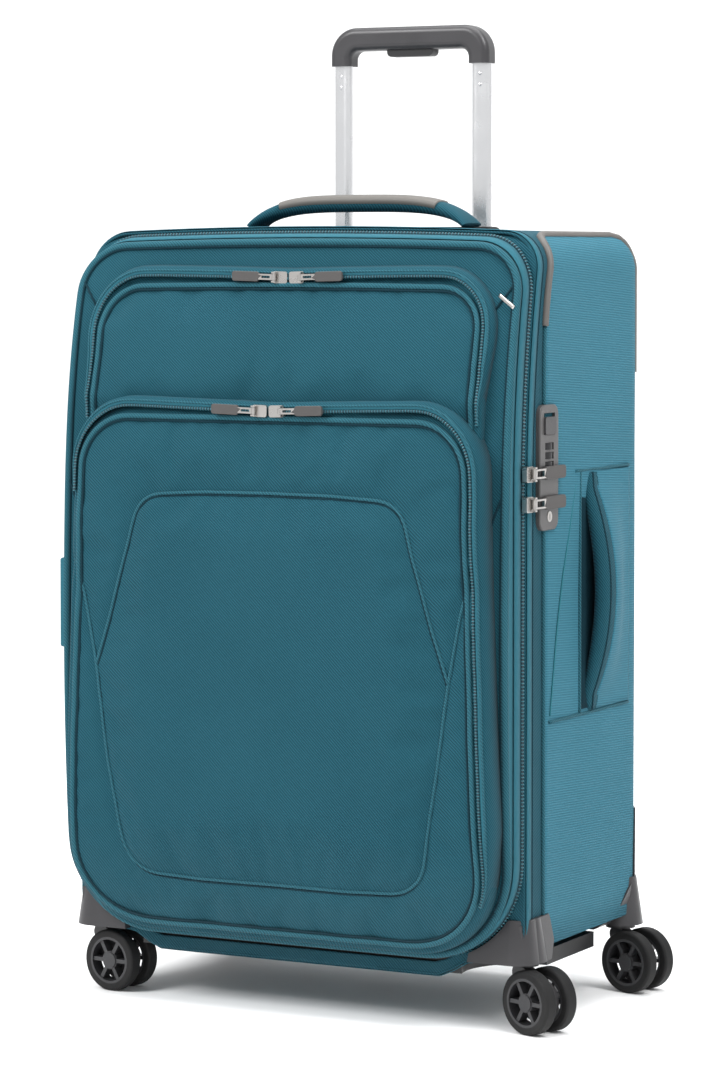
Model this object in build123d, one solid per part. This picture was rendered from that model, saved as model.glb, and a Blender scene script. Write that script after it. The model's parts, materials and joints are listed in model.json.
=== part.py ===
from build123d import *
import math
import os

# Softside upright suitcase on four twin-wheel casters, in millimetres.
# Origin: on the floor, under the middle of the case. +X is the side that carries
# the lock and the side handle, -Y is the front with the lid, +Z is up.

os.makedirs("parts", exist_ok=True)

# ---- case body -------------------------------------------------------------
BODY_W = 430            # outside width of the fabric body
TOP_Z = 670             # floor to the top of the fabric
BASE_Z = 58             # floor to the underside of the fabric
BACK_Y = 140            # rear face
WALL = 3                # padded fabric wall
TOP_CORNER_R = 32       # upper corners seen from the front
LOW_CORNER_R = 30       # lower corners seen from the front
REAR_CORNER_R = 22      # upright rear corners
TOP_EDGE_R = 22         # rear edge of the top
FRONT_EDGE_R = 15       # front edge of the top, above the lid
RIM_T = 4               # thickness of the stiffened rim round the lid opening

# ---- parting line between body and lid --------------------------------------
SEAM_Y = -101           # straight lower part of the parting line
SEAM_TOP_Y = -74        # where the parting line reaches the top of the case
SEAM_BEND_Z = 450       # height at which the parting line starts to lean back
LID_GAP = 0.3           # gap between lid and body

# ---- lid ---------------------------------------------------------------------
LID_SIDE_STEP = 3       # lid narrower than the body, each side
LID_TOP_STEP = 15       # lid lower than the top of the case
LID_LOW_STEP = 4        # lid higher than the underside of the fabric
LID_W = BODY_W - 2 * LID_SIDE_STEP
LID_TOP_Z = TOP_Z - LID_TOP_STEP
LID_LOW_Z = BASE_Z + LID_LOW_STEP
LID_TOP_R = 36
LID_LOW_R = 80
LID_WALL = 3
CHAIN_T = 2.5           # zip chain, thickness beside the lid
CHAIN_H = 3             # zip chain, height along the lid's depth
# side view of the lid's front: depth, height
LID_FRONT = [(-96, LID_TOP_Z), (-125, LID_TOP_Z - 145), (-131, LID_TOP_Z - 255), (-129, 200),
             (-118, LID_LOW_Z)]

# ---- pockets on the lid --------------------------------------------------------
POCKET_STEP = 22        # pockets narrower than the lid at their top, each side
UPPER_DROP = 25         # top of the upper pocket under the top of the lid
LOWER_DROP = 112        # top of the lower pocket under the top of the upper one
POCKET_GAP = 5
UPPER_W = LID_W - 2 * POCKET_STEP
UPPER_TOP_Z = LID_TOP_Z - UPPER_DROP
LOWER_TOP_Z = UPPER_TOP_Z - LOWER_DROP
UPPER_LOW_Z = LOWER_TOP_Z + POCKET_GAP
UPPER_R = 45
UPPER_FRONT = [(-107, UPPER_TOP_Z), (-121, UPPER_TOP_Z - 50), (-134, UPPER_LOW_Z)]
LOWER_W = UPPER_W
LOWER_FLARE = 16        # lower pocket wider at its foot, each side
LOWER_LOW_Z = LID_LOW_Z + 2
LOWER_TOP_R = 52
LOWER_LOW_R = 75
LOWER_FRONT = [(-143, LOWER_TOP_Z), (-151, LOWER_TOP_Z - 88), (-152, 300), (-147, 150),
               (-126, LOWER_LOW_Z)]
BADGE_W = 70
BADGE_H = 19
BADGE_T = 2
BADGE_Z = UPPER_TOP_Z - 42

# ---- zip sliders and pulls -----------------------------------------------------
SLIDER_H = 4.4          # slider body above the fabric
SLIDER_GAP = 0.4        # slider body clear of the fabric
EAR_T = 1.5
EYE_R = 1.9
EYE_LIFT = 6.6          # pull pin above the fabric side of the slider
PIN_R = 0.9
PIN_CLEAR = 0.05
PULL_T = 2
TAB_T = 2.4
MAIN_UPPER_Z = 466      # the two main sliders, closed, either side of the lock tabs
MAIN_LOWER_Z = 441
MAIN_LINK = 22
MAIN_TAB = 40
MAIN_TAB_W = 11
POCKET_SLIDER_X = 8     # pocket sliders stand nose to nose, this far from the middle
POCKET_LINK = 16
POCKET_TAB = 26
POCKET_TAB_W = 8.5
ZIP_SLOPE = math.degrees(math.atan(0.03))   # pocket zips rise from the middle to the sides
ZIP_SEAT = 3            # pocket zips stand this far in front of the pocket's top edge
ZIP_DROP = 2            # zip line under the pocket's top edge
UPPER_ZIP_Z = UPPER_TOP_Z - ZIP_DROP
LOWER_ZIP_Z = LOWER_TOP_Z - ZIP_DROP

# ---- combination lock ----------------------------------------------------------
LOCK_Y = -61.5
LOCK_Z = 470
LOCK_W = 37
LOCK_H = 105
LOCK_PLATE_T = 4
LOCK_CASE_D = 12
LOCK_MARGIN = 4         # plate overlap round the sunken lock case
DIAL_R = 8
DIAL_T = 5.5
DIAL_PITCH = 7.75
DIAL_Z = 480
DIAL_PROUD = 1.5
DIAL_PIN_R = 1.5
DIAL_CLEAR = 0.4
RELEASE_W = 21
RELEASE_H = 14.5
RELEASE_Z = 505
RELEASE_TRAVEL = 3
KEY_R = 4.5
KEY_Z = 429

# ---- casters -------------------------------------------------------------------
STEM_INSET = 10.4       # stem axis inside the body's side
STEM_X = BODY_W / 2 - STEM_INSET
STEM_FRONT_Y = SEAM_Y + 21
STEM_REAR_Y = BACK_Y - 18.2
STEM_R = 4
STEM_CLEAR = 0.05
STEM_TOP_Z = 80
WHEEL_R = 27
WHEEL_W = 12
WHEEL_TRACK = 12        # clear distance between the twin wheels
TRAIL = 19
AXLE_R = 2.5
HUB_R = 20.5
HUB_BOSS_R = 8
HUB_RIM_T = 2.2
SPOKES = 6
SPOKE_W = 3.4
FORK_CLEAR = 0.5
FORK_DRUM_R = 17
NECK_R = 13
NECK_T = 3
SWIVEL_CLEAR = 0.6
# rest angle of each caster's trail direction, in degrees from +X
CASTERS = {
    "front_right": (STEM_X, STEM_FRONT_Y, -20),
    "front_left": (-STEM_X, STEM_FRONT_Y, -8),
    "rear_right": (STEM_X, STEM_REAR_Y, -14),
    "rear_left": (-STEM_X, STEM_REAR_Y, -12),
}

# ---- wheel housings and bottom tray ----------------------------------------------
HOUSING_R = 20
HOUSING_TOP_Z = 95
HOUSING_TOP_R = 14      # stem socket, radius at its top
HOUSING_SKIN = 3        # rear guards, thickness outside the fabric
FRONT_SKIN = 8          # front housings, thickness outside the fabric at their foot
FRONT_DRAFT = 8         # front housings lean in towards their top, degrees
HOUSING_BORE_TOP_Z = 84
FRONT_WING_X = BODY_W / 2 - 49
SIDE_WING_TOP_Y = SEAM_Y + 43
SIDE_WING_Y = SEAM_Y + 49
SIDE_WING_LOW_Y = SEAM_Y + 37
BRIDGE_W = 18
GUARD_TOP_Z = 100
GUARD_STRIP_Z = 160
GUARD_FLAT_X = BODY_W / 2 - 45
TRAY_LOW_Z = 45
TRAY_INSET = 13
TRAY_W = BODY_W - 2 * TRAY_INSET
TRAY_FRONT_Y = SEAM_Y + 5
TRAY_REAR_Y = BACK_Y - 4
TRAY_WELL_R = 52
RIB_PITCH = 36
RIB_STEPS = 4
SCREW_R = 2.6
SCREW_L = 18
SCREW_X = 120
SCREW_FRONT_Y = -70
SCREW_REAR_Y = 95

# ---- trolley ---------------------------------------------------------------------
TUBE_X = 69.5
TUBE_Y = BACK_Y - 21
TOE = 15
TUBE_W = 18
TUBE_D = 11
TUBE_WALL = 1.5
TUBE_CLEAR = 0.3
OUTER_LOW_Z = 66
BEZEL_DEPTH = 22
BEZEL_FLOOR_Z = TOP_Z - BEZEL_DEPTH
BEZEL_T = 3
MIDDLE_LOW_Z = 96
MIDDLE_TOP_Z = BEZEL_FLOOR_Z + 2
INNER_OUT = 147.5       # inner tubes above the top of the case, as they stand
INNER_LOW_Z = 265
INNER_TOP_Z = TOP_Z + INNER_OUT
GRIP_W = 158
GRIP_D = 22
GRIP_H = 34.5
GRIP_TOP_Z = INNER_TOP_Z + GRIP_H
GRIP_CORNER_R = 25
GRIP_ARCH_W = 118
GRIP_ARCH_Z = INNER_TOP_Z + 13.5
GRIP_SIDE_CLEAR = 0.6
BUTTON_W = 46
BUTTON_D = 12
BUTTON_LOW_Z = INNER_TOP_Z + 7.5
BUTTON_H = 10
BUTTON_TRAVEL = 4
BRACKET_TOP_Z = 95
BOARD_T = 3
BOARD_Y = BACK_Y - 40

# ---- handles ----------------------------------------------------------------------
TOP_HANDLE_Y = 22
TOP_HANDLE_W = 26
TOP_HANDLE_X = 112
TOP_HANDLE_RISE = 29
TOP_GAP_X = 88
TOP_GAP_RISE = 16
SIDE_HANDLE_Z = 360
SIDE_HANDLE_HALF = 103
SIDE_HANDLE_BOW = 25
SIDE_GAP_HALF = 92
SIDE_GAP_BOW = 14
SIDE_HANDLE_FRONT_Y = 14
SIDE_HANDLE_REAR_Y = 110

FAR = 600               # longer than anything that it cuts


def write(name, *solids):
    """Write one node: a single solid, or a group of separate ones."""
    shape = solids[0] if len(solids) == 1 else Compound(children=list(solids))
    export_step(shape, f"parts/{name}.step")


def span(x0, x1, y0, y1, z0, z1):
    """Box between two corners."""
    size = (x1 - x0, y1 - y0, z1 - z0)
    return Pos((x0 + x1) / 2, (y0 + y1) / 2, (z0 + z1) / 2) * Box(*size)


def across(outline, y0, y1):
    """Extrude an XZ outline from y0 to y1."""
    return extrude(Plane.XZ.offset(-y1) * outline, y1 - y0)


def along_x(outline, half):
    """Extrude a YZ outline to both sides of the middle."""
    return extrude(Plane.YZ.offset(-half) * outline, 2 * half)


def upright_outline(width, low, high, low_r, top_r, flare=0):
    """Rectangle on the XZ plane with its own radii at each end, wider at its foot by a flare."""
    half = width / 2
    outline = make_face(Polyline((-half - flare, low), (half + flare, low), (half, high), (-half, high),
                                 close=True))
    outline = fillet(outline.vertices().group_by(Axis.Y)[-1], top_r)
    return fillet(outline.vertices().sort_by(Axis.Y)[:2], low_r)


def behind_seam(shift):
    """Everything behind the parting line, moved back by a shift."""
    low_front = (SEAM_Y + shift, 0)
    bend = (SEAM_Y + shift, SEAM_BEND_Z)
    top = (SEAM_TOP_Y + shift, TOP_Z)
    bend_arc = TangentArc(bend, top, tangent=(0, 1))
    edges = Line(low_front, bend) + bend_arc
    edges += Polyline(top, (SEAM_TOP_Y + shift, TOP_Z + 60), (FAR, TOP_Z + 60), (FAR, 0), low_front)
    return along_x(make_face(edges), FAR)


def seam_y_at(z):
    """Depth of the parting line at a height on its leaning stretch."""
    lean = SEAM_TOP_Y - SEAM_Y
    rise = TOP_Z - SEAM_BEND_Z
    radius = (rise**2 + lean**2) / (2 * lean)
    return SEAM_Y + radius - math.sqrt(radius**2 - (z - SEAM_BEND_Z) ** 2)


def body_block(inset):
    """The body's closed volume, drawn in by an inset on every side."""
    low = BASE_Z + inset
    high = TOP_Z - inset
    half = BODY_W / 2 - inset
    back = BACK_Y - inset
    front_view = upright_outline(2 * half, low, high, LOW_CORNER_R - inset, TOP_CORNER_R - inset)
    block = across(front_view, -FAR, back)
    plan = Pos(0, back - FAR / 2) * Rectangle(2 * half, FAR)
    plan = fillet(plan.vertices().group_by(Axis.Y)[-1], REAR_CORNER_R - inset)
    block &= extrude(plan, TOP_Z + 50)
    front = seam_y_at(TOP_Z - FRONT_EDGE_R) + inset
    side = Pos((front + back) / 2, (low + high) / 2) * Rectangle(back - front, high - low)
    side = fillet(side.vertices().group_by(Axis.Y)[-1].sort_by(Axis.X)[-1], TOP_EDGE_R - inset)
    side = fillet(side.vertices().group_by(Axis.Y)[-1].sort_by(Axis.X)[0], FRONT_EDGE_R - inset)
    lower_front = span(-FAR, FAR, -FAR, 0, 0, TOP_Z - FRONT_EDGE_R)
    return block & (along_x(side, FAR) + lower_front)


def in_front_of(points):
    """Everything behind a front surface drawn through points in the side view."""
    top = points[0]
    low = points[-1]
    edges = Spline(*points)
    edges += Polyline(low, (low[0], low[1] - 40), (200, low[1] - 40), (200, top[1] + 40),
                      (top[0], top[1] + 40), top)
    return along_x(make_face(edges), FAR)


def lid_outline(grow):
    """The lid seen from the front, grown outwards (or drawn in, when negative)."""
    return upright_outline(LID_W + 2 * grow, LID_LOW_Z - grow, LID_TOP_Z + grow,
                           LID_LOW_R + grow, LID_TOP_R + grow)


def both_sides(solid):
    """A solid and its mirror image across the middle of the case."""
    return solid, mirror(solid, Plane.YZ)


def tube_section(width, depth, low, high, side):
    """One trolley tube's outer shape, with its outer edge turned to the rear."""
    section = RectangleRounded(width, depth, depth / 2 - 0.6)
    return Pos(side * TUBE_X, TUBE_Y, low) * Rot(0, 0, side * TOE) * extrude(section, high - low)


def tube_pair(width, depth, low, high):
    """Two hollow trolley tubes of the common wall thickness."""
    pair = []
    for side in (1, -1):
        outer = tube_section(width, depth, low, high, side)
        bore = tube_section(width - 2 * TUBE_WALL, depth - 2 * TUBE_WALL, low - 1, high + 1, side)
        pair.append(outer - bore)
    return pair


# ---- wheel housings: two at the front, two guards at the rear ---------------------
def stem_socket(stem_y, top_z):
    """Tapered socket for a caster stem on the right side."""
    return Pos(STEM_X, stem_y, BASE_Z) * Cone(
        HOUSING_R, HOUSING_TOP_R, top_z - BASE_Z, align=(Align.CENTER, Align.CENTER, Align.MIN))


def stem_bore(stem_y):
    """Bore of a caster stem on the right side."""
    return Pos(STEM_X, stem_y, 0) * Cylinder(
        STEM_R + STEM_CLEAR, HOUSING_BORE_TOP_Z, align=(Align.CENTER, Align.CENTER, Align.MIN))


def front_housing():
    """Right front housing: socket for the caster stem, with a wing each way."""
    half = BODY_W / 2
    height = HOUSING_TOP_Z - BASE_Z
    outer_x = half + FRONT_SKIN
    front_y = SEAM_Y - FRONT_SKIN
    plan = Pos((FRONT_WING_X + outer_x) / 2, (SIDE_WING_Y + front_y) / 2) * Rectangle(
        outer_x - FRONT_WING_X, SIDE_WING_Y - front_y)
    plan = fillet(plan.vertices().group_by(Axis.X)[-1].sort_by(Axis.Y)[0], HOUSING_R)
    skin = extrude(Plane.XY.offset(BASE_Z) * plan, height, taper=FRONT_DRAFT)
    skin -= span(0, half, SEAM_Y, 0, 0, TOP_Z)
    side_edge = Polyline((SIDE_WING_TOP_Y, HOUSING_TOP_Z + 1), (SIDE_WING_Y, BASE_Z + height / 2),
                         (SIDE_WING_LOW_Y, BASE_Z - 1), (FAR, BASE_Z - 1), (FAR, HOUSING_TOP_Z + 1),
                         (SIDE_WING_TOP_Y, HOUSING_TOP_Z + 1))
    skin -= along_x(make_face(side_edge), FAR)
    reach = BRIDGE_W / 2
    bridge = span(STEM_X - reach, STEM_X + reach, SEAM_Y - HOUSING_SKIN / 2, STEM_FRONT_Y,
                  BASE_Z, HOUSING_TOP_Z - 4)
    bridge += span(STEM_X, half + HOUSING_SKIN / 2, STEM_FRONT_Y - reach, STEM_FRONT_Y + reach,
                   BASE_Z, HOUSING_TOP_Z - 4)
    corner = Pos(LID_W / 2 - LID_LOW_R, 0, LID_LOW_Z + LID_LOW_R) * Rot(90, 0, 0) * Cylinder(
        LID_LOW_R + CHAIN_T + 1.5, 2 * FAR)
    corner &= span(0, FAR, -FAR, SEAM_Y + 0.2, 0, TOP_Z)
    return stem_socket(STEM_FRONT_Y, HOUSING_TOP_Z) + skin + bridge - corner - stem_bore(STEM_FRONT_Y)


def rear_guard():
    """Right rear guard: stem socket and a strip that wraps the corner."""
    skin = body_block(-HOUSING_SKIN) - body_block(0)
    shape = Polyline((77, BASE_Z), (77, BASE_Z + 5), (106, 88), (123, GUARD_TOP_Z),
                     (126, GUARD_STRIP_Z), (FAR, GUARD_STRIP_Z), (FAR, BASE_Z), (77, BASE_Z))
    skin &= along_x(make_face(shape), FAR)
    skin &= span(GUARD_FLAT_X, FAR, 0, FAR, BASE_Z, TOP_Z)
    return stem_socket(STEM_REAR_Y, GUARD_TOP_Z) + skin - stem_bore(STEM_REAR_Y)


front_right_housing = front_housing()
rear_right_guard = rear_guard()
front_housings = both_sides(front_right_housing)
rear_guards = both_sides(rear_right_guard)

# ---- sunken lock case, needed by the side panel ------------------------------------
SIDE_X = BODY_W / 2
lock_case_room = span(SIDE_X - LOCK_CASE_D, SIDE_X,
                      LOCK_Y - LOCK_W / 2 + LOCK_MARGIN, LOCK_Y + LOCK_W / 2 - LOCK_MARGIN,
                      LOCK_Z - LOCK_H / 2 + LOCK_MARGIN, LOCK_Z + LOCK_H / 2 - LOCK_MARGIN)

# ---- trolley bezel, needed by the top and back panels ------------------------------
recess_half_w = GRIP_W / 2 + GRIP_SIDE_CLEAR
recess_half_d = GRIP_D / 2 + GRIP_SIDE_CLEAR
bezel_room = span(-recess_half_w - BEZEL_T, recess_half_w + BEZEL_T,
                  TUBE_Y - recess_half_d - BEZEL_T, TUBE_Y + recess_half_d + BEZEL_T,
                  BEZEL_FLOOR_Z, FAR + TOP_Z)
bezel_room &= body_block(-2)

# ---- body shell, cut into the panels it is sewn from -------------------------------
shell = body_block(0) & behind_seam(0)
hollow = body_block(WALL) & behind_seam(RIM_T)
opening = across(lid_outline(-LID_WALL), -FAR, SEAM_TOP_Y + 60)
shell -= hollow
shell -= opening - behind_seam(RIM_T + 1)
shell -= bezel_room
shell -= lock_case_room
for housing in (*front_housings, *rear_guards):
    shell -= housing
for side in (1, -1):
    for stem_y in (STEM_FRONT_Y, STEM_REAR_Y):
        shell -= Pos(side * STEM_X, stem_y, BASE_Z) * Cylinder(STEM_R + 2, 2 * HOUSING_R)

rim = shell - behind_seam(RIM_T)
tub = shell & behind_seam(RIM_T)
back_split_y = BACK_Y - REAR_CORNER_R
side_split_x = SIDE_X - TOP_CORNER_R
back_panel = tub & span(-FAR, FAR, back_split_y, FAR, 0, FAR + TOP_Z)
band = tub & span(-FAR, FAR, -FAR, back_split_y, 0, FAR + TOP_Z)
right_side = band & span(side_split_x, FAR, -FAR, FAR, 0, FAR + TOP_Z)
left_side = band & span(-FAR, -side_split_x, -FAR, FAR, 0, FAR + TOP_Z)
middle_band = band & span(-side_split_x, side_split_x, -FAR, FAR, 0, FAR + TOP_Z)
top_panel = middle_band & span(-FAR, FAR, -FAR, FAR, TOP_Z / 2, FAR + TOP_Z)
base_panel = middle_band & span(-FAR, FAR, -FAR, FAR, 0, TOP_Z / 2)

write("front_rim", rim)
write("back_panel", back_panel)
write("side_panel_right", right_side)
write("side_panel_left", left_side)
write("top_panel", top_panel)
write("front_wheel_housings", *front_housings)
write("rear_wheel_guards", *rear_guards)

# ---- stiff board behind the packing space, which hides the trolley -----------------
board = body_block(WALL) & span(-FAR, FAR, BOARD_Y, BOARD_Y + BOARD_T, 0, TOP_Z)
for guard in rear_guards:
    board -= guard
write("back_board", board)

# ---- bottom tray, and the screws that hold it to the base ------------------------------
tray = span(-TRAY_W / 2, TRAY_W / 2, TRAY_FRONT_Y, TRAY_REAR_Y, TRAY_LOW_Z, BASE_Z)
for x, y, _ in CASTERS.values():
    tray -= Pos(x, y, TRAY_LOW_Z) * Cylinder(TRAY_WELL_R, 60)
for step in range(-RIB_STEPS, RIB_STEPS + 1):
    tray -= span(step * RIB_PITCH - 2, step * RIB_PITCH + 2, TRAY_FRONT_Y + 60, TRAY_REAR_Y - 60,
                 TRAY_LOW_Z - 1, TRAY_LOW_Z + 1.5)
screws = []
for x in (-SCREW_X, SCREW_X):
    for y in (SCREW_FRONT_Y, SCREW_REAR_Y):
        seat = Pos(x, y, TRAY_LOW_Z)
        head = seat * Cylinder(2 * SCREW_R, 1.5, align=(Align.CENTER, Align.CENTER, Align.MAX))
        shank = seat * Cylinder(SCREW_R, SCREW_L, align=(Align.CENTER, Align.CENTER, Align.MIN))
        screws.append(head + shank)
        tray -= shank
        base_panel -= shank
write("base_panel", base_panel)
write("bottom_tray", tray)
write("tray_screws", *screws)

# ---- casters -----------------------------------------------------------------------------
def caster_frame(x, y, angle):
    """Local frame of a caster: X along the trail, Y along the axle, Z up the stem."""
    return Pos(x, y, 0) * Rot(0, 0, angle)


def caster_fork():
    """Drum between the wheels, neck under the housing, and the stem."""
    width = WHEEL_TRACK - 2 * FORK_CLEAR
    neck_z = BASE_Z - SWIVEL_CLEAR
    side_view = Pos(TRAIL, WHEEL_R) * Circle(FORK_DRUM_R)
    arm = make_hull((side_view + Pos(-1, neck_z - 9) * Circle(7)).edges())
    fork = across(arm, -width / 2, width / 2)
    fork += Pos(0, 0, neck_z) * Cylinder(
        NECK_R, NECK_T, align=(Align.CENTER, Align.CENTER, Align.MAX))
    fork += Pos(0, 0, neck_z) * Cylinder(
        STEM_R, STEM_TOP_Z - neck_z, align=(Align.CENTER, Align.CENTER, Align.MIN))
    axle_hole = Pos(TRAIL, 0, WHEEL_R) * Rot(90, 0, 0) * Cylinder(AXLE_R + STEM_CLEAR, 40)
    return fork - axle_hole


def wheel_axle():
    """Steel axle that carries both wheels and turns in the fork."""
    length = WHEEL_TRACK + 2 * (WHEEL_W - 2)
    return Pos(TRAIL, 0, WHEEL_R) * Rot(90, 0, 0) * Cylinder(AXLE_R, length)


def wheel_hub():
    """Right-hand hub: rim, six spokes and a closed centre cap with a star relief."""
    inner_face = WHEEL_TRACK / 2
    hub = Circle(HUB_R) - Circle(HUB_R - HUB_RIM_T)
    web = Circle(HUB_BOSS_R)
    for step in range(SPOKES):
        web += Rot(0, 0, step * 360 / SPOKES) * Pos(HUB_R / 2 - 0.5, 0) * Rectangle(HUB_R - 2, SPOKE_W)
    hub_solid = across(hub, inner_face, inner_face + WHEEL_W)
    hub_solid += across(web, inner_face + 2, inner_face + WHEEL_W - 1.2)
    cap = Circle(HUB_BOSS_R - 1)
    hub_solid += across(cap, inner_face, inner_face + WHEEL_W - 0.2)
    socket = across(Circle(AXLE_R), inner_face - 1, inner_face + WHEEL_W - 2)
    return Pos(TRAIL, 0, WHEEL_R) * (hub_solid - socket)


def wheel_tyre():
    """Right-hand tyre: a solid ring with rounded shoulders."""
    inner_face = WHEEL_TRACK / 2
    tread = across(Circle(WHEEL_R), inner_face, inner_face + WHEEL_W)
    tread = fillet(tread.edges(), 2.4)
    return Pos(TRAIL, 0, WHEEL_R) * (tread - across(Circle(HUB_R), inner_face - 1, inner_face + WHEEL_W + 1))


for name, (x, y, angle) in CASTERS.items():
    place = caster_frame(x, y, angle)
    write(f"caster_fork_{name}", place * caster_fork())
    write(f"caster_axle_{name}", place * wheel_axle())
    write(f"wheel_hubs_{name}", place * wheel_hub(), place * mirror(wheel_hub(), Plane.XZ))
    write(f"wheel_tyres_{name}", place * wheel_tyre(), place * mirror(wheel_tyre(), Plane.XZ))

# ---- trolley ---------------------------------------------------------------------------------
middle_w = TUBE_W + 2 * (TUBE_CLEAR + TUBE_WALL)
middle_d = TUBE_D + 2 * (TUBE_CLEAR + TUBE_WALL)
outer_w = middle_w + 2 * (TUBE_CLEAR + TUBE_WALL)
outer_d = middle_d + 2 * (TUBE_CLEAR + TUBE_WALL)
write("trolley_outer_tubes", *tube_pair(outer_w, outer_d, OUTER_LOW_Z, BEZEL_FLOOR_Z))
write("trolley_middle_tubes", *tube_pair(middle_w, middle_d, MIDDLE_LOW_Z, MIDDLE_TOP_Z))
write("trolley_inner_tubes", *tube_pair(TUBE_W, TUBE_D, INNER_LOW_Z, INNER_TOP_Z))

bezel = bezel_room - span(-recess_half_w, recess_half_w, TUBE_Y - recess_half_d, TUBE_Y + recess_half_d,
                          BEZEL_FLOOR_Z + BEZEL_T, FAR + TOP_Z)
for side in (1, -1):
    bezel -= tube_section(middle_w + 2 * TUBE_CLEAR, middle_d + 2 * TUBE_CLEAR,
                          BEZEL_FLOOR_Z - 1, FAR + TOP_Z, side)
write("trolley_bezel", bezel)

bracket = span(-TUBE_X - outer_w, TUBE_X + outer_w, BOARD_Y + BOARD_T, BACK_Y - WALL,
               BASE_Z + WALL, BRACKET_TOP_Z)
for side in (1, -1):
    bracket -= tube_section(outer_w, outer_d, OUTER_LOW_Z, BRACKET_TOP_Z + 1, side)
write("trolley_bracket", bracket)

grip_low_z = INNER_TOP_Z
grip_face = Pos(0, (grip_low_z + GRIP_TOP_Z) / 2) * Rectangle(GRIP_W, GRIP_TOP_Z - grip_low_z)
grip_face = fillet(grip_face.vertices().group_by(Axis.Y)[-1], GRIP_CORNER_R)
arch = Pos(0, (grip_low_z + GRIP_ARCH_Z) / 2 - 5) * Rectangle(GRIP_ARCH_W, GRIP_ARCH_Z - grip_low_z + 10)
arch = fillet(arch.vertices().group_by(Axis.Y)[-1], 8)
grip = across(grip_face - arch, TUBE_Y - GRIP_D / 2, TUBE_Y + GRIP_D / 2)
grip = fillet(grip.edges().filter_by(lambda e: e.center().Z > grip_low_z + 2 and e.length > 20
                                     and abs(e.center().Y - TUBE_Y) > 5), 6)
button_room = span(-BUTTON_W / 2 - 0.3, BUTTON_W / 2 + 0.3, TUBE_Y - BUTTON_D / 2 - 0.3,
                   TUBE_Y + BUTTON_D / 2 + 0.3, 0, BUTTON_LOW_Z + BUTTON_H + BUTTON_TRAVEL + 0.5)
write("trolley_grip", grip - button_room)
button = Pos(0, BUTTON_LOW_Z + BUTTON_H / 2) * Rectangle(BUTTON_W, BUTTON_H)
button = fillet(button.vertices().group_by(Axis.Y)[0], 4.5)
write("release_button", across(button, TUBE_Y - BUTTON_D / 2, TUBE_Y + BUTTON_D / 2))

# ---- handles -----------------------------------------------------------------------------------
def crescent(half, rise, gap_half, gap_rise):
    """Bowed handle seen from the side: feet on the X axis, bow towards +Y."""
    outer = make_face(ThreePointArc((-half, 0), (0, rise), (half, 0)) + Line((half, 0), (-half, 0)))
    inner = make_face(ThreePointArc((-gap_half, 0), (0, gap_rise), (gap_half, 0))
                      + Line((gap_half, 0), (-gap_half, 0)))
    return outer, inner


outer, inner = crescent(TOP_HANDLE_X, TOP_HANDLE_RISE, TOP_GAP_X, TOP_GAP_RISE)
top_handle = across(Pos(0, TOP_Z) * (outer - inner), TOP_HANDLE_Y - TOP_HANDLE_W / 2,
                    TOP_HANDLE_Y + TOP_HANDLE_W / 2)
write("top_handle", top_handle)

outer, inner = crescent(SIDE_HANDLE_HALF, SIDE_HANDLE_BOW, SIDE_GAP_HALF, SIDE_GAP_BOW)
# the crescent stands upright on the side of the case: bow towards +X, length along Z
stand = Plane(origin=(SIDE_X, 0, SIDE_HANDLE_Z), x_dir=(0, 0, 1), z_dir=(0, 1, 0))
skin = extrude(Plane(origin=(SIDE_X, SIDE_HANDLE_FRONT_Y, SIDE_HANDLE_Z), x_dir=stand.x_dir,
                     z_dir=stand.z_dir) * outer, SIDE_HANDLE_REAR_Y - SIDE_HANDLE_FRONT_Y)
slope = Polyline((SIDE_X, SIDE_HANDLE_FRONT_Y), (SIDE_X + SIDE_HANDLE_BOW + 1, SIDE_HANDLE_FRONT_Y),
                 (SIDE_X + SIDE_HANDLE_BOW + 1, 48), (SIDE_X + 2, SIDE_HANDLE_REAR_Y),
                 (SIDE_X, SIDE_HANDLE_REAR_Y), (SIDE_X, SIDE_HANDLE_FRONT_Y))
skin &= extrude(make_face(slope), TOP_Z)
gap = extrude(Plane(origin=(SIDE_X, SIDE_HANDLE_FRONT_Y - 1, SIDE_HANDLE_Z), x_dir=stand.x_dir,
                    z_dir=stand.z_dir) * inner, 80)
gap_slope = Polyline((SIDE_X, 0), (SIDE_X + SIDE_GAP_BOW + 1, 0), (SIDE_X + SIDE_GAP_BOW + 1, 46),
                     (SIDE_X + 1, 90), (SIDE_X, 90), (SIDE_X, 0))
gap &= extrude(make_face(gap_slope), TOP_Z)
write("side_handle", skin - gap)

# ---- combination lock -----------------------------------------------------------------------------
plate_outline = Pos(LOCK_Y, LOCK_Z) * RectangleRounded(LOCK_W, LOCK_H, 9)
lock = extrude(Plane.YZ.offset(SIDE_X) * plate_outline, LOCK_PLATE_T)
lock = fillet(lock.faces().sort_by(Axis.X)[-1].edges(), 1.2)
lock += lock_case_room
face_x = SIDE_X + LOCK_PLATE_T
dial_x = face_x + DIAL_PROUD - DIAL_R
for step in (-1, 0, 1):
    z = DIAL_Z + step * DIAL_PITCH
    lock -= span(dial_x - DIAL_R - DIAL_CLEAR, FAR, LOCK_Y - DIAL_R - DIAL_CLEAR,
                 LOCK_Y + DIAL_R + DIAL_CLEAR, z - DIAL_T / 2 - DIAL_CLEAR / 2,
                 z + DIAL_T / 2 + DIAL_CLEAR / 2)
lock += Pos(dial_x, LOCK_Y, DIAL_Z) * Cylinder(DIAL_PIN_R, 3 * DIAL_PITCH)
lock -= span(face_x - 3, FAR, LOCK_Y - RELEASE_W / 2 - 0.3, LOCK_Y + RELEASE_W / 2 + 0.3,
             RELEASE_Z - RELEASE_H / 2 - 0.3, RELEASE_Z + RELEASE_H / 2 + RELEASE_TRAVEL + 0.3)
key_place = Pos(face_x - 8, LOCK_Y, KEY_Z) * Rot(0, 90, 0)
lock -= key_place * Cylinder(KEY_R + PIN_CLEAR, 30, align=(Align.CENTER, Align.CENTER, Align.MIN))
write("lock_plate", lock)

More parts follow.
